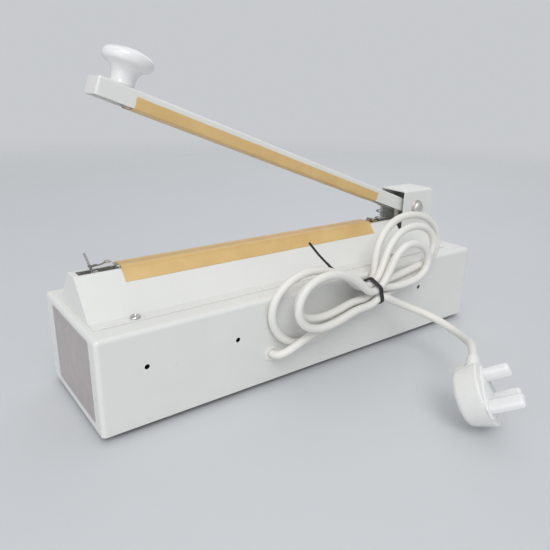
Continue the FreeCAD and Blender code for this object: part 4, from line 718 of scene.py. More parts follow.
tailRoute = [Vector(place) for place in (
    (-41.0, 58.6, 72.0), (-33.0, 60.0, 77.0), (-24.0, 60.0, 80.0), (-16.0, 59.6, 84.0), (-8.0, 59.5, 88.5),
    (0.0, 59.5, 94.0), (12.0, 58.0, 106.0), (21.0, 56.0, 117.0))]
tieCorners = []
tieEdges = []
for along in (-tieSizes["pair"], tieSizes["pair"]):
    first = len(tieCorners)
    loop = tieRing(along, tieSizes["lift"])
    tieCorners += [spot(*place) for place in loop]
    tieEdges += [(first + index, first + (index + 1) % len(loop)) for index in range(len(loop))]
for strand in (0, 1):
    first = len(tieCorners)
    steps = 60 if strand == 0 else 46
    for index in range(steps + 1):
        part = index / 60 * (len(tailRoute) - 1)
        step = min(int(part), len(tailRoute) - 2)
        here = tailRoute[step].lerp(tailRoute[step + 1], part - step)
        angle = 2 * math.pi * tieSizes["twist"] * min(part, tieSizes["parting"]) / 3 + math.pi * strand
        spread = tieSizes["reach"] + max(0.0, part - tieSizes["parting"]) * 0.5
        here = (here + Vector((0, math.cos(angle), 0)) * tieSizes["reach"]
                + Vector((-0.55, 0, 0.83)) * math.sin(angle) * spread)
        tieCorners.append(spot(*here))
    tieEdges += [(index, index + 1) for index in range(first, len(tieCorners) - 1)]
cordTie = grown("cordTie", wireTree, tieCorners, tieEdges,
                {"Wire Radius": tieSizes["wire"], "Sides": 10, "Material": tieCoat})
finished(cordTie, None, "base", "black_plastic", "cord_tie")
print("tie made")


# Painted sheet: housing, deck, bracket and arm channel

sheetEdges = {"housing": 0.3, "deck": 0.25, "bracket": 0.3, "arm": 0.25}
finished(framePiece("baseHousing", "base_housing", sheetEdges["housing"]), paintedSteel,
         "base", "white_paint", "base_housing")
finished(framePiece("deckCover", "deck_cover", sheetEdges["deck"]), paintedSteel,
         "base", "white_paint", "deck_cover")
finished(framePiece("hingeBracket", "hinge_bracket", sheetEdges["bracket"]), paintedSteel,
         "base", "white_paint", "hinge_bracket")
finished(framePiece("armChannel", "arm_channel", sheetEdges["arm"]), paintedSteel,
         "arm", "white_paint", "arm_channel")
print("painted sheet made")


# Bare plate on the knob end, left blank

plateSizes = {"frontEdge": -37.5, "rearEdge": 43.5, "low": 11.0, "high": 73.5, "corner": 2.0, "lift": 0.12}


def roundedOutline(left, right, low, high, corner, steps=6):
    outline = []
    turns = ((right - corner, high - corner, 0), (left + corner, high - corner, 90),
             (left + corner, low + corner, 180), (right - corner, low + corner, 270))
    for middleU, middleV, first in turns:
        for index in range(steps + 1):
            angle = math.radians(first + 90 * index / steps)
            outline.append((middleU + corner * math.cos(angle), middleV + corner * math.sin(angle)))
    return outline


outline = roundedOutline(plateSizes["frontEdge"], plateSizes["rearEdge"], plateSizes["low"],
                         plateSizes["high"], plateSizes["corner"])
corners = [spot(199.98, u, v) for u, v in outline]
corners += [spot(200 + plateSizes["lift"], u, v) for u, v in outline]
count = len(outline)
faces = [tuple(range(count)), tuple(range(count, 2 * count))]
faces += [(index, (index + 1) % count, count + (index + 1) % count, count + index)
          for index in range(count)]
endPlate = linked("endPlate", meshFrom("endPlate", corners, faces))
finished(endPlate, platedFoil, "base", "zinc_plate")
print("end plate made")


# Tapes: cloth sheets with their own thickness, a little waved where they hang free

tapeSizes = {"thickness": 0.28, "wave": 0.16, "rows": 150}
lowerSection = [(14.3, 99.35), (13.1, 100.75), (11.8, 102.25), (10.4, 103.85), (9.1, 105.3), (8.15, 106.45),
                (7.55, 107.35), (7.2, 108.2), (7.02, 108.85), (6.8, 109.25), (6.35, 109.47), (5.0, 109.5),
                (3.0, 109.5), (1.4, 109.5), (0.0, 109.5)]
upperSection = [(11.36, 0.1), (11.36, -1.6), (11.36, -3.4), (11.36, -5.2), (11.34, -6.8), (11.25, -7.7),
                (10.95, -8.2), (10.4, -8.4), (9.0, -8.55), (7.0, -8.75), (5.4, -8.92), (4.6, -9.0),
                (3.0, -9.0), (1.4, -9.0), (0.0, -9.0)]


def tapeSheet(name, half, start, end, place, outward, seed):
    section = [(u, v) for u, v in half] + [(-u, v) for u, v in reversed(half[:-1])]
    count = len(section)
    middle = count // 2
    runs = [0.0]
    for first, second in zip(section, section[1:]):
        runs.append(runs[-1] + math.hypot(second[0] - first[0], second[1] - first[1]))
    centre = runs[middle]
    normals = []
    for index, (u, v) in enumerate(section):
        before = section[max(index - 1, 0)]
        after = section[min(index + 1, count - 1)]
        side = Vector((after[1] - before[1], -(after[0] - before[0]))).normalized()
        normals.append(side * outward)
    rows = tapeSizes["rows"]
    outer = []
    inner = []
    spots = []
    for row in range(rows + 1):
        along = start + (end - start) * row / rows
        for index, (u, v) in enumerate(section):
            free = min(1.0, abs(runs[index] - centre) / 12.0) ** 2
            ripple = noise.noise(Vector((along * 0.045, index * 0.16 + seed, seed))) * tapeSizes["wave"]
            ripple += noise.noise(Vector((along * 0.35, index * 0.3, seed + 4))) * tapeSizes["wave"] * 0.35
            nudge = noise.noise(Vector((row * 0.21, seed, 2.0))) * 0.25 if index in (0, count - 1) else 0.0
            lift = abs(ripple) * free
            edgeRun = 0.35 * noise.noise(Vector((index * 0.5, seed, 7.0))) if row in (0, rows) else 0.0
            side = normals[index]
            outer.append(place(along + edgeRun, u + side.x * lift, v + side.y * lift + nudge))
            inner.append(place(along + edgeRun, u + side.x * (lift - tapeSizes["thickness"]),
                               v + side.y * (lift - tapeSizes["thickness"]) + nudge))
            spots.append((along / 1000, (runs[index] - centre) / 1000))
    total = len(outer)
    faces = []
    for row in range(rows):
        for index in range(count - 1):
            a = row * count + index
            faces.append((a, a + 1, a + count + 1, a + count))
            faces.append((total + a, total + a + count, total + a + count + 1, total + a + 1))
    for row in range(rows):
        for index in (0, count - 1):
            a = row * count + index
            faces.append((a, a + count, total + a + count, total + a))
    for row in (0, rows):
        for index in range(count - 1):
            a = row * count + index
            faces.append((a, a + 1, total + a + 1, total + a))
    mesh = meshFrom(name, outer + inner, faces)
    cloth = mesh.uv_layers.new(name="cloth")
    for loop in mesh.loops:
        cloth.data[loop.index].uv = spots[loop.vertex_index % total]
    smoothed(mesh, 40)
    return linked(name, mesh)


lowerTape = tapeSheet("lowerTape", lowerSection, -98.0, 159.5, spot, 1, 3.0)
finished(lowerTape, coatedTape, "base", "tan_tape", "lower_tape")
upperTape = tapeSheet("upperTape", upperSection, 57.0, 316.0, onArm, -1, 9.0)
finished(upperTape, coatedTape, "arm", "tan_tape", "upper_tape")
print("tapes made")


# Knob, bolt, washers and other turned pieces

knobSizes = {"along": 324.5, "above": 4.6}
knobProfile = [(0.0, 0.0), (8.3, 0.0), (8.75, 0.35), (8.72, 1.2), (8.42, 2.4), (8.3, 3.6), (8.5, 5.2),
               (8.9, 7.0), (9.6, 8.8), (10.7, 10.5), (12.3, 12.0), (14.2, 12.95), (15.9, 13.6),
               (17.0, 14.5), (17.6, 15.9), (17.75, 17.5), (17.5, 19.1), (16.8, 20.5), (15.6, 21.6),
               (13.7, 22.6), (11.0, 23.6), (8.0, 24.35), (4.5, 24.8), (2.0, 24.88), (0.0, 24.9)]
armUp = (onArm(0, 0, 1) - onArm(0, 0, 0)).normalized()
pressKnob = turned("pressKnob", [(r / 1000, h / 1000) for r, h in rounded(knobProfile, 4, 0.5)],
                   onArm(knobSizes["along"], 0, knobSizes["above"]), armUp, 128)
finished(pressKnob, knobPlastic, "arm", "white_plastic", "arm_knob")

boltSizes = {"seat": 17.45, "head": 6.5, "dome": 4.6, "shank": 3.0, "tail": -22.4}
domeProfile = [(0.0, boltSizes["tail"]), (boltSizes["shank"] - 0.5, boltSizes["tail"]),
               (boltSizes["shank"], boltSizes["tail"] + 0.5), (boltSizes["shank"], boltSizes["seat"]),
               (boltSizes["head"] - 0.25, boltSizes["seat"]), (boltSizes["head"], boltSizes["seat"] + 0.25),
               (boltSizes["head"], boltSizes["seat"] + 0.85)]
for index in range(1, 13):
    angle = math.radians(90 * index / 12)
    domeProfile.append(((boltSizes["head"] - 0.1) * math.cos(angle) if index < 12 else 0.0,
                        boltSizes["seat"] + 0.95 + (boltSizes["dome"] - 0.95) * math.sin(angle)))
pivotBolt = turned("pivotBolt", [(r / 1000, h / 1000) for r, h in domeProfile],
                   spot(hingeSizes["x"], 0, hingeSizes["z"]), Vector((0, 1, 0)), 64)
finished(pivotBolt, dullSteel, "base", "bright_steel", "pivot_bolt")


def joined(name, objects):
    shell = bmesh.new()
    for item in objects:
        shell.from_mesh(item.data)
    mesh = bpy.data.meshes.new(name)
    shell.to_mesh(mesh)
    shell.free()
    smoothed(mesh, 38)
    for item in objects:
        bpy.data.objects.remove(item)
    return linked(name, mesh)


def washer(name, inner, outer, thick, start, direction):
    lip = thick * 0.22
    profile = [(inner, lip), (inner + lip, 0), (outer - lip, 0), (outer, lip), (outer, thick - lip),
               (outer - lip, thick), (inner + lip, thick), (inner, thick - lip)]
    return turned(name, [(r / 1000, h / 1000) for r, h in profile], start, direction, 64)


washerSizes = {"inner": 3.05, "outer": 8.0, "thick": 1.2, "seat": 16.25}
washers = []
for side in (-1, 1):
    place = spot(hingeSizes["x"], side * washerSizes["seat"], hingeSizes["z"])
    washers.append(washer("washer", washerSizes["inner"], washerSizes["outer"], washerSizes["thick"], place,
                          Vector((0, side, 0))))
finished(joined("pivotWashers", washers), dullSteel, "base", "bright_steel", "pivot_washers")

grommetProfile = [(3.45, -2.2), (3.6, -2.3), (6.5, -2.3), (6.8, -2.0), (6.8, -1.5), (6.5, -1.2),
                  (5.5, -1.2), (5.5, 0.0), (6.4, 0.0), (6.8, 0.3), (6.7, 0.7), (6.2, 0.95), (5.0, 1.0),
                  (3.7, 1.0), (3.45, 0.85)]
cordGrommet = turned("cordGrommet", [(r / 1000, h / 1000) for r, h in grommetProfile],
                     spot(58.0, 56.3, 30.0), Vector((0, 1, 0)), 64)
finished(cordGrommet, cordSheath, "base", "cord_white", "cord_grommet")
print("turned pieces made")


# Screws: one model with a cross recess, laid on points

screwSizes = {"head": 4.0, "rise": 2.2, "shank": 2.0, "recess": 0.95, "arm": 2.35, "depth": 1.5}


def modelScrew(name, shankLength):
    head = screwSizes["head"]
    rise = screwSizes["rise"]
    shank = screwSizes["shank"]
    profile = [(0.0, -shankLength), (shank * 0.75, -shankLength), (shank, -shankLength + 0.5)]
    threads = int(shankLength / 0.7) - 1
    for index in range(threads):
        low = -shankLength + 0.5 + 0.7 * index
        profile += [(shank, low), (shank * 0.84, low + 0.35)]
    profile += [(shank, -0.3), (shank, 0.0), (head - 0.15, 0.0), (head, 0.15), (head, rise * 0.42),
                (head * 0.96, rise * 0.62), (head * 0.86, rise * 0.8), (head * 0.66, rise * 0.93),
                (head * 0.4, rise * 0.99), (0.0, rise)]
    blank = turned(name, [(r / 1000, h / 1000) for r, h in profile], Vector((0, 0, 0)),
                   Vector((0, 0, 1)), 40)
    cutter = bmesh.new()
    for quarter in (0, 90):
        blade = bmesh.ops.create_cube(cutter, size=1.0)["verts"]
        for corner in blade:
            lower = corner.co.z < 0
            corner.co.x *= 0.0023 if lower else 2 * screwSizes["arm"] / 1000
            corner.co.y *= screwSizes["recess"] / 1000 * (0.8 if lower else 1.0)
            corner.co.z = (rise - screwSizes["depth"]) / 1000 if lower else (rise + 0.6) / 1000
        bmesh.ops.rotate(cutter, verts=blade, cent=(0, 0, 0),
                         matrix=Matrix.Rotation(math.radians(quarter), 3, "Z"))
    cross = bpy.data.meshes.new("cross")
    cutter.to_mesh(cross)
    cutter.free()
    knife = linked("cross", cross)
    recess = blank.modifiers.new("recess", "BOOLEAN")
    recess.operation = "DIFFERENCE"
    recess.solver = "EXACT"
    recess.use_self = True
    recess.object = knife
    model = settled(blank)
    bpy.data.objects.remove(knife)
    smoothed(model.data, 32)
    return model


def screwsAt(name, model, places, tilt, seed, material):
    return grown(name, screwTree, places, [], {
        "Screw": model, "Tilt": tilt, "Spread": 3.0, "Seed": seed, "Material": material})


upright = (0.0, 0.0, 0.0)
headDown = (math.pi, 0.0, 0.0)
shortScrew = modelScrew("shortScrew", 6.4)
longScrew = modelScrew("longScrew", 6.7)

deckScrewSizes = {"alongs": (163.0, -103.0), "side": 36.3, "seat": 79.8}
deckPlaces = [spot(x, side * deckScrewSizes["side"], deckScrewSizes["seat"])
              for side in (-1, 1) for x in deckScrewSizes["alongs"]]
deckScrews = screwsAt("deckScrews", shortScrew, deckPlaces, upright, 4, brightSteel)
finished(deckScrews, None, "base", "bright_steel", "deck_screws")

bracketScrewSizes = {"alongs": (-173.0, -162.0), "side": 11.4, "seat": 80.1}
bracketPlaces = [spot(x, side * bracketScrewSizes["side"], bracketScrewSizes["seat"])
                 for side in (-1, 1) for x in bracketScrewSizes["alongs"]]
bracketHeads = screwsAt("bracketHeads", longScrew, bracketPlaces, upright, 7, brightSteel)
bracketNuts = framePiece("bracketNuts", "bracket_screws", 0.15, lambda low, high: high < 0.0776)
bracketSet = joined("bracketScrews", [bracketHeads, bracketNuts])
finished(bracketSet, brightSteel, "base", "bright_steel", "bracket_screws")

baseScrewSizes = {"plate": (148.0, 51.1, 5.0), "foot": (180.0, 42.0, 2.5), "footHead": 0.7}


def fourPlaces(x, y, z):
    return [spot(sideX * x, sideY * y, z) for sideX in (-1, 1) for sideY in (-1, 1)]


platePlaces = fourPlaces(*baseScrewSizes["plate"])
footPlaces = fourPlaces(*baseScrewSizes["foot"])
plateHeads = screwsAt("plateHeads", shortScrew, platePlaces, headDown, 11, zincPlate)
footScrew = modelScrew("footScrew", 8.0)
footScrew.data.transform(Matrix.Diagonal((1, 1, baseScrewSizes["footHead"], 1)))
footHeads = screwsAt("footHeads", footScrew, footPlaces, headDown, 12, zincPlate)
plateNuts = framePiece("plateNuts", "base_screws", 0.15, lambda low, high: low > 0.006)
finished(joined("baseScrews", [plateHeads, footHeads, plateNuts]), zincPlate, "base", "zinc_plate",
         "base_screws")
for model in (shortScrew, longScrew, footScrew):
    bpy.data.objects.remove(model)
print("screws laid")


# Springs

returnSizes = {"radius": 3.6, "wire": 0.6, "turns": 6.0}
springFoot = Vector((-117.4, 0, 102.1))
springHead = Vector((-120.76, 0, 133.0))


def coilPath(foot, head, radius, turns, closedTurns, wire, steps=26):
    # Open coil whose end turns lie close
    length = (head - foot).length
    turn = Vector((0, 0, 1)).rotation_difference((head - foot).normalized())
    openTurns = turns - 2 * closedTurns
    openPitch = (length - 2 * closedTurns * wire * 2.1) / openTurns
    points = []
    height = 0.0
    total = int(turns * steps)
    for index in range(total + 1):
        at = index / steps
        angle = 2 * math.pi * at
        points.append(foot + turn @ Vector((radius * math.cos(angle), radius * math.sin(angle), height)))
        nearEnd = min(at, turns - at)
        pitch = wire * 2.1 if nearEnd < closedTurns else openPitch
        height += pitch / steps
    return points


springPoints = [spot(*place) for place in coilPath(springFoot, springHead, returnSizes["radius"],
                                                  returnSizes["turns"], 1.0, returnSizes["wire"])]
returnSpring = grown("returnSpring", wireTree, springPoints,
                     [(index, index + 1) for index in range(len(springPoints) - 1)],
                     {"Wire Radius": returnSizes["wire"] / 1000, "Sides": 12, "Material": springSteel})
finished(returnSpring, None, "base", "spring_steel", "return_spring")
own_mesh(returnSpring)

tensionSizes = {"wire": 0.85, "coil": 1.75, "turns": 4, "x": 176.0, "z": 104.15, "half": 2.1,
                "sweep": 1285.0, "footX": 177.7, "footZ": 103.7, "tipX": 183.5, "tipZ": 121.3}
tensionPoints = []
for index in range(9):
    tensionPoints.append((tensionSizes["x"] - 7.75 + 6.0 * index / 8, tensionSizes["half"], 102.15))
steps = 24 * tensionSizes["turns"]
for index in range(steps + 1):
    angle = math.radians(200.0 - tensionSizes["sweep"] * index / steps)
    tensionPoints.append((tensionSizes["x"] + tensionSizes["coil"] * math.cos(angle),
                          tensionSizes["half"] * (1 - 2 * index / steps),
                          tensionSizes["z"] + tensionSizes["coil"] * math.sin(angle)))
for index in range(1, 13):
    part = index / 12
    tensionPoints.append((tensionSizes["footX"] + (tensionSizes["tipX"] - tensionSizes["footX"]) * part,
                          tensionSizes["half"] * (min(1.0, 2.5 * part) - 1),
                          tensionSizes["footZ"] + (tensionSizes["tipZ"] - tensionSizes["footZ"]) * part))
tensionSpring = grown("tensionSpring", wireTree, [spot(*place) for place in tensionPoints],
                      [(index, index + 1) for index in range(len(tensionPoints) - 1)],
                      {"Wire Radius": tensionSizes["wire"] / 1000, "Sides": 12, "Material": springSteel})
finished(tensionSpring, None, "base", "spring_steel", "tension_spring")
print("springs wound")


# Heating ribbon: flat over the bar, a hump with its sleeve, and a loop round the spring's leg

ribbonSizes = {"half": 1.3, "thickness": 0.24, "corner": 1.1, "eyelet": 2.9, "eyeletThick": 0.3,
               "loop": 1.15}
ribbonLine = [(-109.0, 109.05), (-106.0, 109.05), (-102.7, 112.05), (-101.3, 109.2), (161.4, 109.05),
              (164.6, 112.45), (166.2, 112.6), (168.6, 112.55), (170.2, 111.7), (172.6, 111.0),
              (176.5, 110.9), (178.6, 110.6)]
ribbonTop = softCorners(ribbonLine, ribbonSizes["corner"], 5, False)
legSpot = (180.15, 111.0)
for index in range(17):
    angle = math.radians(-110 + 300 * index / 16)
    ribbonTop.append((legSpot[0] + ribbonSizes["loop"] * math.cos(angle),
                      legSpot[1] + ribbonSizes["loop"] * math.sin(angle)))
ribbonTop += [(177.2, 111.6), (174.6, 111.6)]


def flatStrip(name, line, half, thickness):
    rows = []
    corners = []
    count = len(line)
    for index, (x, z) in enumerate(line):
        before = line[max(index - 1, 0)]
        after = line[min(index + 1, count - 1)]
        run = Vector((after[0] - before[0], after[1] - before[1])).normalized()
        side = Vector((-run.y, run.x)) * thickness / 2
        row = []
        for u, v in ((-half, 1), (half, 1), (half, -1), (-half, -1)):
            row.append(len(corners))
            corners.append(spot(x + side.x * v, u, z + side.y * v))
        rows.append(row)
    faces = [tuple(rows[0]), tuple(rows[-1])]
    for low, high in zip(rows, rows[1:]):
        for index in range(4):
            after = (index + 1) % 4
            faces.append((low[index], low[after], high[after], high[index]))
    mesh = meshFrom(name, corners, faces)
    smoothed(mesh, 50)
    return linked(name, mesh)


ribbon = flatStrip("ribbon", ribbonTop, ribbonSizes["half"], ribbonSizes["thickness"])
eyelet = washer("eyelet", 1.3, ribbonSizes["eyelet"], ribbonSizes["eyeletThick"], spot(-109.0, 0, 108.9),
                Vector((0, 0, 1)))
finished(joined("heatingElement", [ribbon, eyelet]), ribbonAlloy, "base", "ribbon_alloy", "heating_element")
print("ribbon laid")


# Plug: places are written along the cord, across, and along the pins

plugTurn = Matrix(((-0.818, 0.392, -0.421), (-0.554, -0.336, 0.762), (0.158, 0.857, 0.491)))
plugSpot = Vector((-21.4, 204.8, 28.1))


def onPlug(x, y, z):
    return spot(*(plugSpot + plugTurn @ Vector((x, y, z))))


bodySizes = {"faceHalf": 24.2, "backHalf": 21.2, "faceEarth": -7.5, "backEarth": -3.4, "shoulder": 20.0,
             "end": 34.0, "endHalf": 17.0, "depth": 20.0, "backRound": 4.0, "faceRound": 1.5}


def bodyOutline(level, inset):
    # Round end by the earth pin, tapering shoulders, flat end by the cord
    part = 1 + level / bodySizes["depth"]
    half = bodySizes["backHalf"] + (bodySizes["faceHalf"] - bodySizes["backHalf"]) * part
    earth = bodySizes["backEarth"] + (bodySizes["faceEarth"] - bodySizes["backEarth"]) * part
    shoulder = bodySizes["shoulder"]
    middle = (shoulder ** 2 + half ** 2 - earth ** 2) / (2 * shoulder - 2 * earth)
    start = math.atan2(half, shoulder - middle)
    line = [Vector((middle + (middle - earth) * math.cos(start + (2 * math.pi - 2 * start) * index / 72),
                    (middle - earth) * math.sin(start + (2 * math.pi - 2 * start) * index / 72)))
            for index in range(73)]
    ends = [line[-1], Vector((bodySizes["end"], -bodySizes["endHalf"])),
            Vector((bodySizes["end"], bodySizes["endHalf"])), line[0]]
    line += softCorners(ends, 3.2, 8, False)[1:-1]
    ring = []
    for index, here in enumerate(line):
        run = (line[(index + 1) % len(line)] - line[index - 1]).normalized()
        ring.append(onPlug(here.x - run.y * inset, here.y + run.x * inset, level))
    return ring


levels = []
for index in range(9):
    angle = math.radians(90 - 90 * index / 8)
    levels.append((-bodySizes["depth"] + bodySizes["backRound"] * (1 - math.sin(angle)),
                   bodySizes["backRound"] * (1 - math.cos(angle))))
levels += [(-12.0, 0.0), (-8.0, 0.0), (-4.0, 0.0)]
for index in range(7):
    angle = math.radians(90 * index / 6)
    levels.append((-bodySizes["faceRound"] * (1 - math.sin(angle)),
                   bodySizes["faceRound"] * (1 - math.cos(angle))))
moulding = stacked("moulding", [bodyOutline(level, inset) for level, inset in levels], 40)
collarProfile = [(0.0, 0.0), (4.9, 0.0), (4.9, 9.0), (4.85, 10.6), (4.65, 12.2), (4.3, 13.0),
                 (3.9, 13.4), (3.5, 13.5), (0.0, 13.5)]
collar = turned("collar", [(r / 1000, h / 1000) for r, h in collarProfile], onPlug(23.5, 18.0, -5.0),
                onPlug(1, 0, 0) - onPlug(0, 0, 0), 64)
plugBody = finished(joined("plugBody", [moulding, collar]), plugPlastic, "base", "white_plastic",
                    "plug_body")
plugPins = finished(framePiece("plugPins", "plug_pins", 0.25), pinBrass, "base", "brass", "plug_pins")


# Pin cover: three soft oval sleeves on one thin plate

coverSizes = {"wall": 1.9, "plate": 1.5, "tip": 2.6}
pinPlaces = [(0.0, 0.0, 4.0, 2.0, 22.7), (22.2, -11.1, 2.0, 3.175, 17.7), (22.2, 11.1, 2.0, 3.175, 17.7)]


def softSleeve(pin, sides=48):
    x, y, alongHalf, acrossHalf, length = pin
    halfX = alongHalf + coverSizes["wall"]
    halfY = acrossHalf + coverSizes["wall"]
    top = length + coverSizes["wall"]
    tip = coverSizes["tip"]
    levels = [(0.0, 0.55), (0.4, 0.2), (1.6, 0.02), (top * 0.5, -0.08), (top - tip, 0.0)]
    for index in range(1, 8):
        angle = math.pi / 2 * index / 7
        levels.append((top - tip + tip * math.sin(angle), tip * (1 - math.cos(angle))))
    rings = []
    for level, inset in levels:
        ring = []
        for index in range(sides):
            c = math.cos(2 * math.pi * index / sides)
            d = math.sin(2 * math.pi * index / sides)
            ring.append(onPlug(x + (halfX - inset) * math.copysign(abs(c) ** 0.72, c),
                               y + (halfY - inset) * math.copysign(abs(d) ** 0.72, d), level))
        rings.append(ring)
    return stacked("sleeve", rings, 40)


def coverPlate():
    outline = softCorners([(-8.0, -6.0), (16.0, -17.5), (28.0, -17.5), (28.0, 17.5), (16.0, 17.5),
                           (-8.0, 6.0)], 3.5, 8, True)
    middle = Vector((10.0, 0.0))
    rings = []
    for level, inset in ((0.05, 0.0), (1.1, 0.0), (1.4, 0.12), (coverSizes["plate"], 0.4)):
        rings.append([])
        for place in outline:
            inward = (middle - place).normalized() * inset
            rings[-1].append(onPlug(place.x + inward.x, place.y + inward.y, level))
    return stacked("plate", rings, 40)


pinCover = joined("pinCover", [coverPlate()] + [softSleeve(pin) for pin in pinPlaces])
finished(pinCover, knobPlastic, "base", "white_plastic", "plug_pin_cover")
print("plug made")


# Timer dial: bare ring of marks with plain numbers, and a painted pointer

dialSizes = {"x": -130.0, "z": 41.0, "face": -56.3, "inner": 18.2, "mark": 2.2, "numbers": 22.6,
             "lift": 0.06}


def dialSpot(radius, degrees, lift=0.0):
    angle = math.radians(degrees)
    return spot(dialSizes["x"] + radius * math.sin(angle), dialSizes["face"] - lift,
                dialSizes["z"] + radius * math.cos(angle))


markPlaces = [dialSpot(dialSizes["inner"] + dialSizes["mark"] / 2, -135 + 270 * index / 16, 0.02)
              for index in range(17)]
marks = grown("dialMarks", markTree, markPlaces, [],
              {"Middle": tuple(dialSpot(0, 0, 0.02)),
               "Mark Size": (dialSizes["mark"] / 1000, dialSizes["lift"] / 1000, 0.0005),
               "Material": dialInk})
finished(marks, None, "base", "black_plastic")
numerals = []
for index in range(9):
    words = bpy.data.curves.new("numeral", "FONT")
    words.body = str(index)
    words.size = 0.0048
    words.extrude = dialSizes["lift"] / 2000
    words.align_x = "CENTER"
    words.align_y = "CENTER"
    written = linked("numeral", words)
    written = settled(written)
    seat = dialSpot(dialSizes["numbers"], -135 + 270 * index / 8, 0.02)
    written.data.transform(Matrix.Translation(seat) @ Matrix.Rotation(math.pi / 2, 4, "X"))
    numerals.append(written)
finished(joined("dialNumbers", numerals), dialInk, "base", "black_plastic")
finished(framePiece("timerKnob", "timer_knob", 0.2), timerPlastic, "timer", "black_plastic", "timer_knob")
pointerSizes = {"inner": 4.8, "outer": 9.7, "half": 0.55, "face": -73.6}
corners = []
for depth in (0.0, 0.15):
    for radius in (pointerSizes["inner"], pointerSizes["outer"]):
        for side in (-1, 1):
            angle = math.radians(-135)
            u = radius * math.sin(angle) + side * pointerSizes["half"] * math.cos(angle)
            v = radius * math.cos(angle) - side * pointerSizes["half"] * math.sin(angle)
            corners.append(spot(dialSizes["x"] + u, pointerSizes["face"] + depth, dialSizes["z"] + v))
pointer = meshFrom("pointerFill", corners, [(0, 1, 3, 2), (4, 5, 7, 6), (0, 1, 5, 4), (2, 3, 7, 6),
                                            (0, 2, 6, 4), (1, 3, 7, 5)])
finished(linked("pointerFill", pointer), pointerPaint, "timer", "black_plastic")
print("dial made")


# Plain metal and moulded pieces taken from the frame, with their edges broken

plainPieces = [
    ("bottomPlate", "bottom_plate", 0.2, zincPlate, "base", "zinc_plate"),
    ("rubberFeet", "rubber_feet", 0.4, feetRubber, "base", "black_rubber"),
    ("jawChannel", "jaw_channel", 0.15, zincPlate, "base", "zinc_plate"),
    ("channelPosts", "channel_posts", 0.15, zincPlate, "base", "zinc_plate"),
    ("jawBar", "jaw_bar", 0.15, barAluminium, "base", "aluminium_bar"),
    ("insulationStrip", "insulation_strip", 0.0, clothStrip, "base", "insulation"),
    ("elementCrimp", "element_crimp", 0.1, tinnedBrass, "base", "brass"),
    ("tensionPin", "tension_pin", 0.15, brightSteel, "base", "bright_steel"),
    ("rearPost", "rear_post", 0.15, pinBrass, "base", "brass"),
    ("rearPostScrew", "rear_post_screw", 0.12, brightSteel, "base", "bright_steel"),
    ("pivotNut", "pivot_nut", 0.35, brightSteel, "base", "bright_steel"),
    ("pivotSpacers", "pivot_spacers", 0.15, hingeNylon, "base", "nylon"),
    ("pivotBush", "pivot_bush", 0.1, hingeNylon, "arm", "nylon"),
    ("padCarrier", "pad_carrier", 0.15, zincPlate, "arm", "zinc_plate"),
    ("siliconePad", "silicone_pad", 0.15, padSilicone, "arm", "silicone"),
    ("knobScrew", "knob_screw", 0.15, brightSteel, "arm", "bright_steel"),
    ("pushRod", "push_rod", 0.2, hingeNylon, "switch_rod", "nylon"),
    ("rodGuide", "rod_guide", 0.2, hingeNylon, "base", "nylon"),
    ("switchBody", "switch_body", 0.2, timerPlastic, "base", "black_plastic"),
    ("switchLever", "switch_lever", 0.08, brightSteel, "switch_leaf", "bright_steel"),
    ("switchPlate", "switch_plate", 0.15, zincPlate, "base", "zinc_plate"),
    ("switchScrews", "switch_screws", 0.15, brightSteel, "base", "bright_steel"),
    ("transformerCore", "transformer_core", 0.1, coreLaminations, "base", "core_steel"),
    ("transformerBobbin", "transformer_bobbin", 0.15, hingeNylon, "base", "nylon"),
    ("transformerWinding", "transformer_winding", 0.4, copperWinding, "base", "varnished_copper"),
    ("transformerStrap", "transformer_strap", 0.2, zincPlate, "base", "zinc_plate"),
    ("strapScrews", "strap_screws", 0.15, brightSteel, "base", "bright_steel"),
    ("timerControl", "timer_control", 0.2, timerPlastic, "base", "black_plastic"),
    ("timerNut", "timer_nut", 0.2, brightSteel, "base", "bright_steel"),
    ("circuitBoard", "circuit_board", 0.1, boardLaminate, "base", "board_green"),
    ("boardParts", "board_parts", 0.3, timerPlastic, "base", "black_plastic"),
    ("timerShaft", "timer_shaft", 0.2, brightSteel, "timer", "bright_steel"),
    ("lampBezel", "lamp_bezel", 0.2, timerPlastic, "base", "black_plastic"),
    ("lampLens", "lamp_lens", 0.1, amberLens, "base", "amber_lens"),
    ("terminalBlock", "terminal_block", 0.2, hingeNylon, "base", "nylon"),
    ("earthStud", "earth_stud", 0.15, pinBrass, "base", "brass"),
]
for name, node, edge, material, body, slotName in plainPieces:
    finished(framePiece(name, node, edge), material, body, slotName, node)
print("plain pieces made")


# Floor, background and lamps

floorSizes = {"radius": 3.0, "clear": 0.6, "faded": 2.2}
floorMesh = bpy.data.meshes.new("studioFloor")
rim = [(floorSizes["radius"] * math.cos(math.radians(6 * index)),
        floorSizes["radius"] * math.sin(math.radians(6 * index)), 0.0) for index in range(60)]
floorMesh.from_pydata(rim, [], [tuple(range(60))])
studioFloor = linked("studioFloor", floorMesh)
floorMaterial, tree, shader, place = startMaterial("paleFloor")
tone = useEffect(tree, patchyTone, {"Place": place, "Light Tone": (0.620, 0.640, 0.660, 1),
                                    "Dark Tone": (0.605, 0.625, 0.645, 1), "Patch Scale": 3.0})
rough = useEffect(tree, handledSheen, {"Place": place, "Smooth": 0.42, "Rough": 0.52,
                                       "Patch Scale": 8.0})
tree.links.new(tone.outputs["Color"], shader.inputs["Base Color"])
tree.links.new(rough.outputs["Roughness"], shader.inputs["Roughness"])
distance = addNode(tree, "ShaderNodeVectorMath", {0: place}, operation="LENGTH")
fade = addNode(tree, "ShaderNodeMapRange",
               {"Value": distance.outputs["Value"], "From Min": floorSizes["clear"],
                "From Max": floorSizes["faded"], "To Min": 1.0, "To Max": 0.0},
               interpolation_type="SMOOTHSTEP")
tree.links.new(fade.outputs["Result"], shader.inputs["Alpha"])
floorMesh.materials.append(floorMaterial)

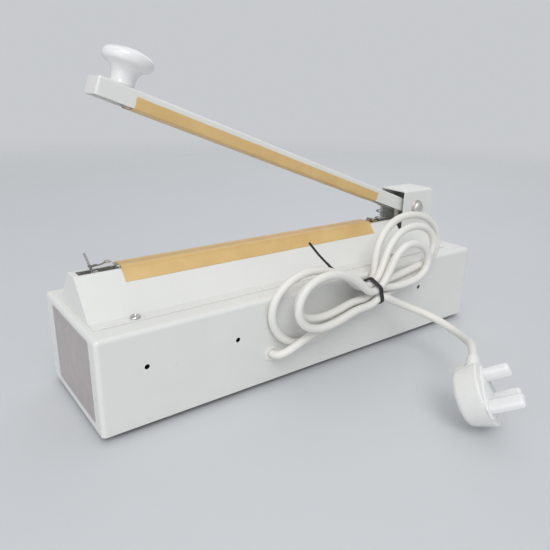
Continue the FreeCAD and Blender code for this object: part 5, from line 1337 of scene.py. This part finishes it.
world = bpy.data.worlds.new("studio")
world.use_nodes = True
tree = world.node_tree
tree.nodes.clear()
ground = tree.nodes.new("ShaderNodeOutputWorld")
rays = tree.nodes.new("ShaderNodeLightPath")
direction = addNode(tree, "ShaderNodeSeparateXYZ",
                    {"Vector": tree.nodes.new("ShaderNodeTexCoord").outputs["Generated"]})
sky = addNode(tree, "ShaderNodeMapRange",
              {"Value": direction.outputs["Z"], "From Min": -0.2, "From Max": 0.9,
               "To Min": 0.46, "To Max": 0.52})
surround = addNode(tree, "ShaderNodeBackground",
                   {"Color": (0.95, 0.97, 1.0, 1), "Strength": sky.outputs["Result"]})
seen = addNode(tree, "ShaderNodeBackground", {"Color": (0.575, 0.592, 0.610, 1), "Strength": 1.0})
mixed = addNode(tree, "ShaderNodeMixShader",
                {0: rays.outputs["Is Camera Ray"], 1: surround.outputs["Background"],
                 2: seen.outputs["Background"]})
tree.links.new(mixed.outputs["Shader"], ground.inputs["Surface"])
scene.world = world

lampSizes = {
    "keyLamp": ((0.60, 1.00, 1.25), 1.2, 2.0), "fillLamp": ((1.25, 0.60, 0.50), 1.2, 4.4),
    "topLamp": ((-0.15, 0.0, 1.35), 1.3, 2.2), "backLamp": ((-0.9, -0.8, 0.9), 1.2, 1.8),
}
for name, (place, size, power) in lampSizes.items():
    data = bpy.data.lights.new(name, "AREA")
    data.shape = "DISK"
    data.size = size
    data.energy = power
    lamp = linked(name, data)
    lamp.location = place
    aim = Vector((0.0, 0.03, 0.06)) - Vector(place)
    lamp.rotation_euler = aim.to_track_quat("-Z", "Y").to_euler()
skySizes = {"from": (0.30, 0.62, 0.80), "spread": 30.0, "strength": 0.95}
daylight = bpy.data.lights.new("softDaylight", "SUN")
daylight.angle = math.radians(skySizes["spread"])
daylight.energy = skySizes["strength"]
softDaylight = linked("softDaylight", daylight)
softDaylight.rotation_euler = (-Vector(skySizes["from"])).to_track_quat("-Z", "Y").to_euler()
scene.view_settings.view_transform = "Standard"
print("studio set")
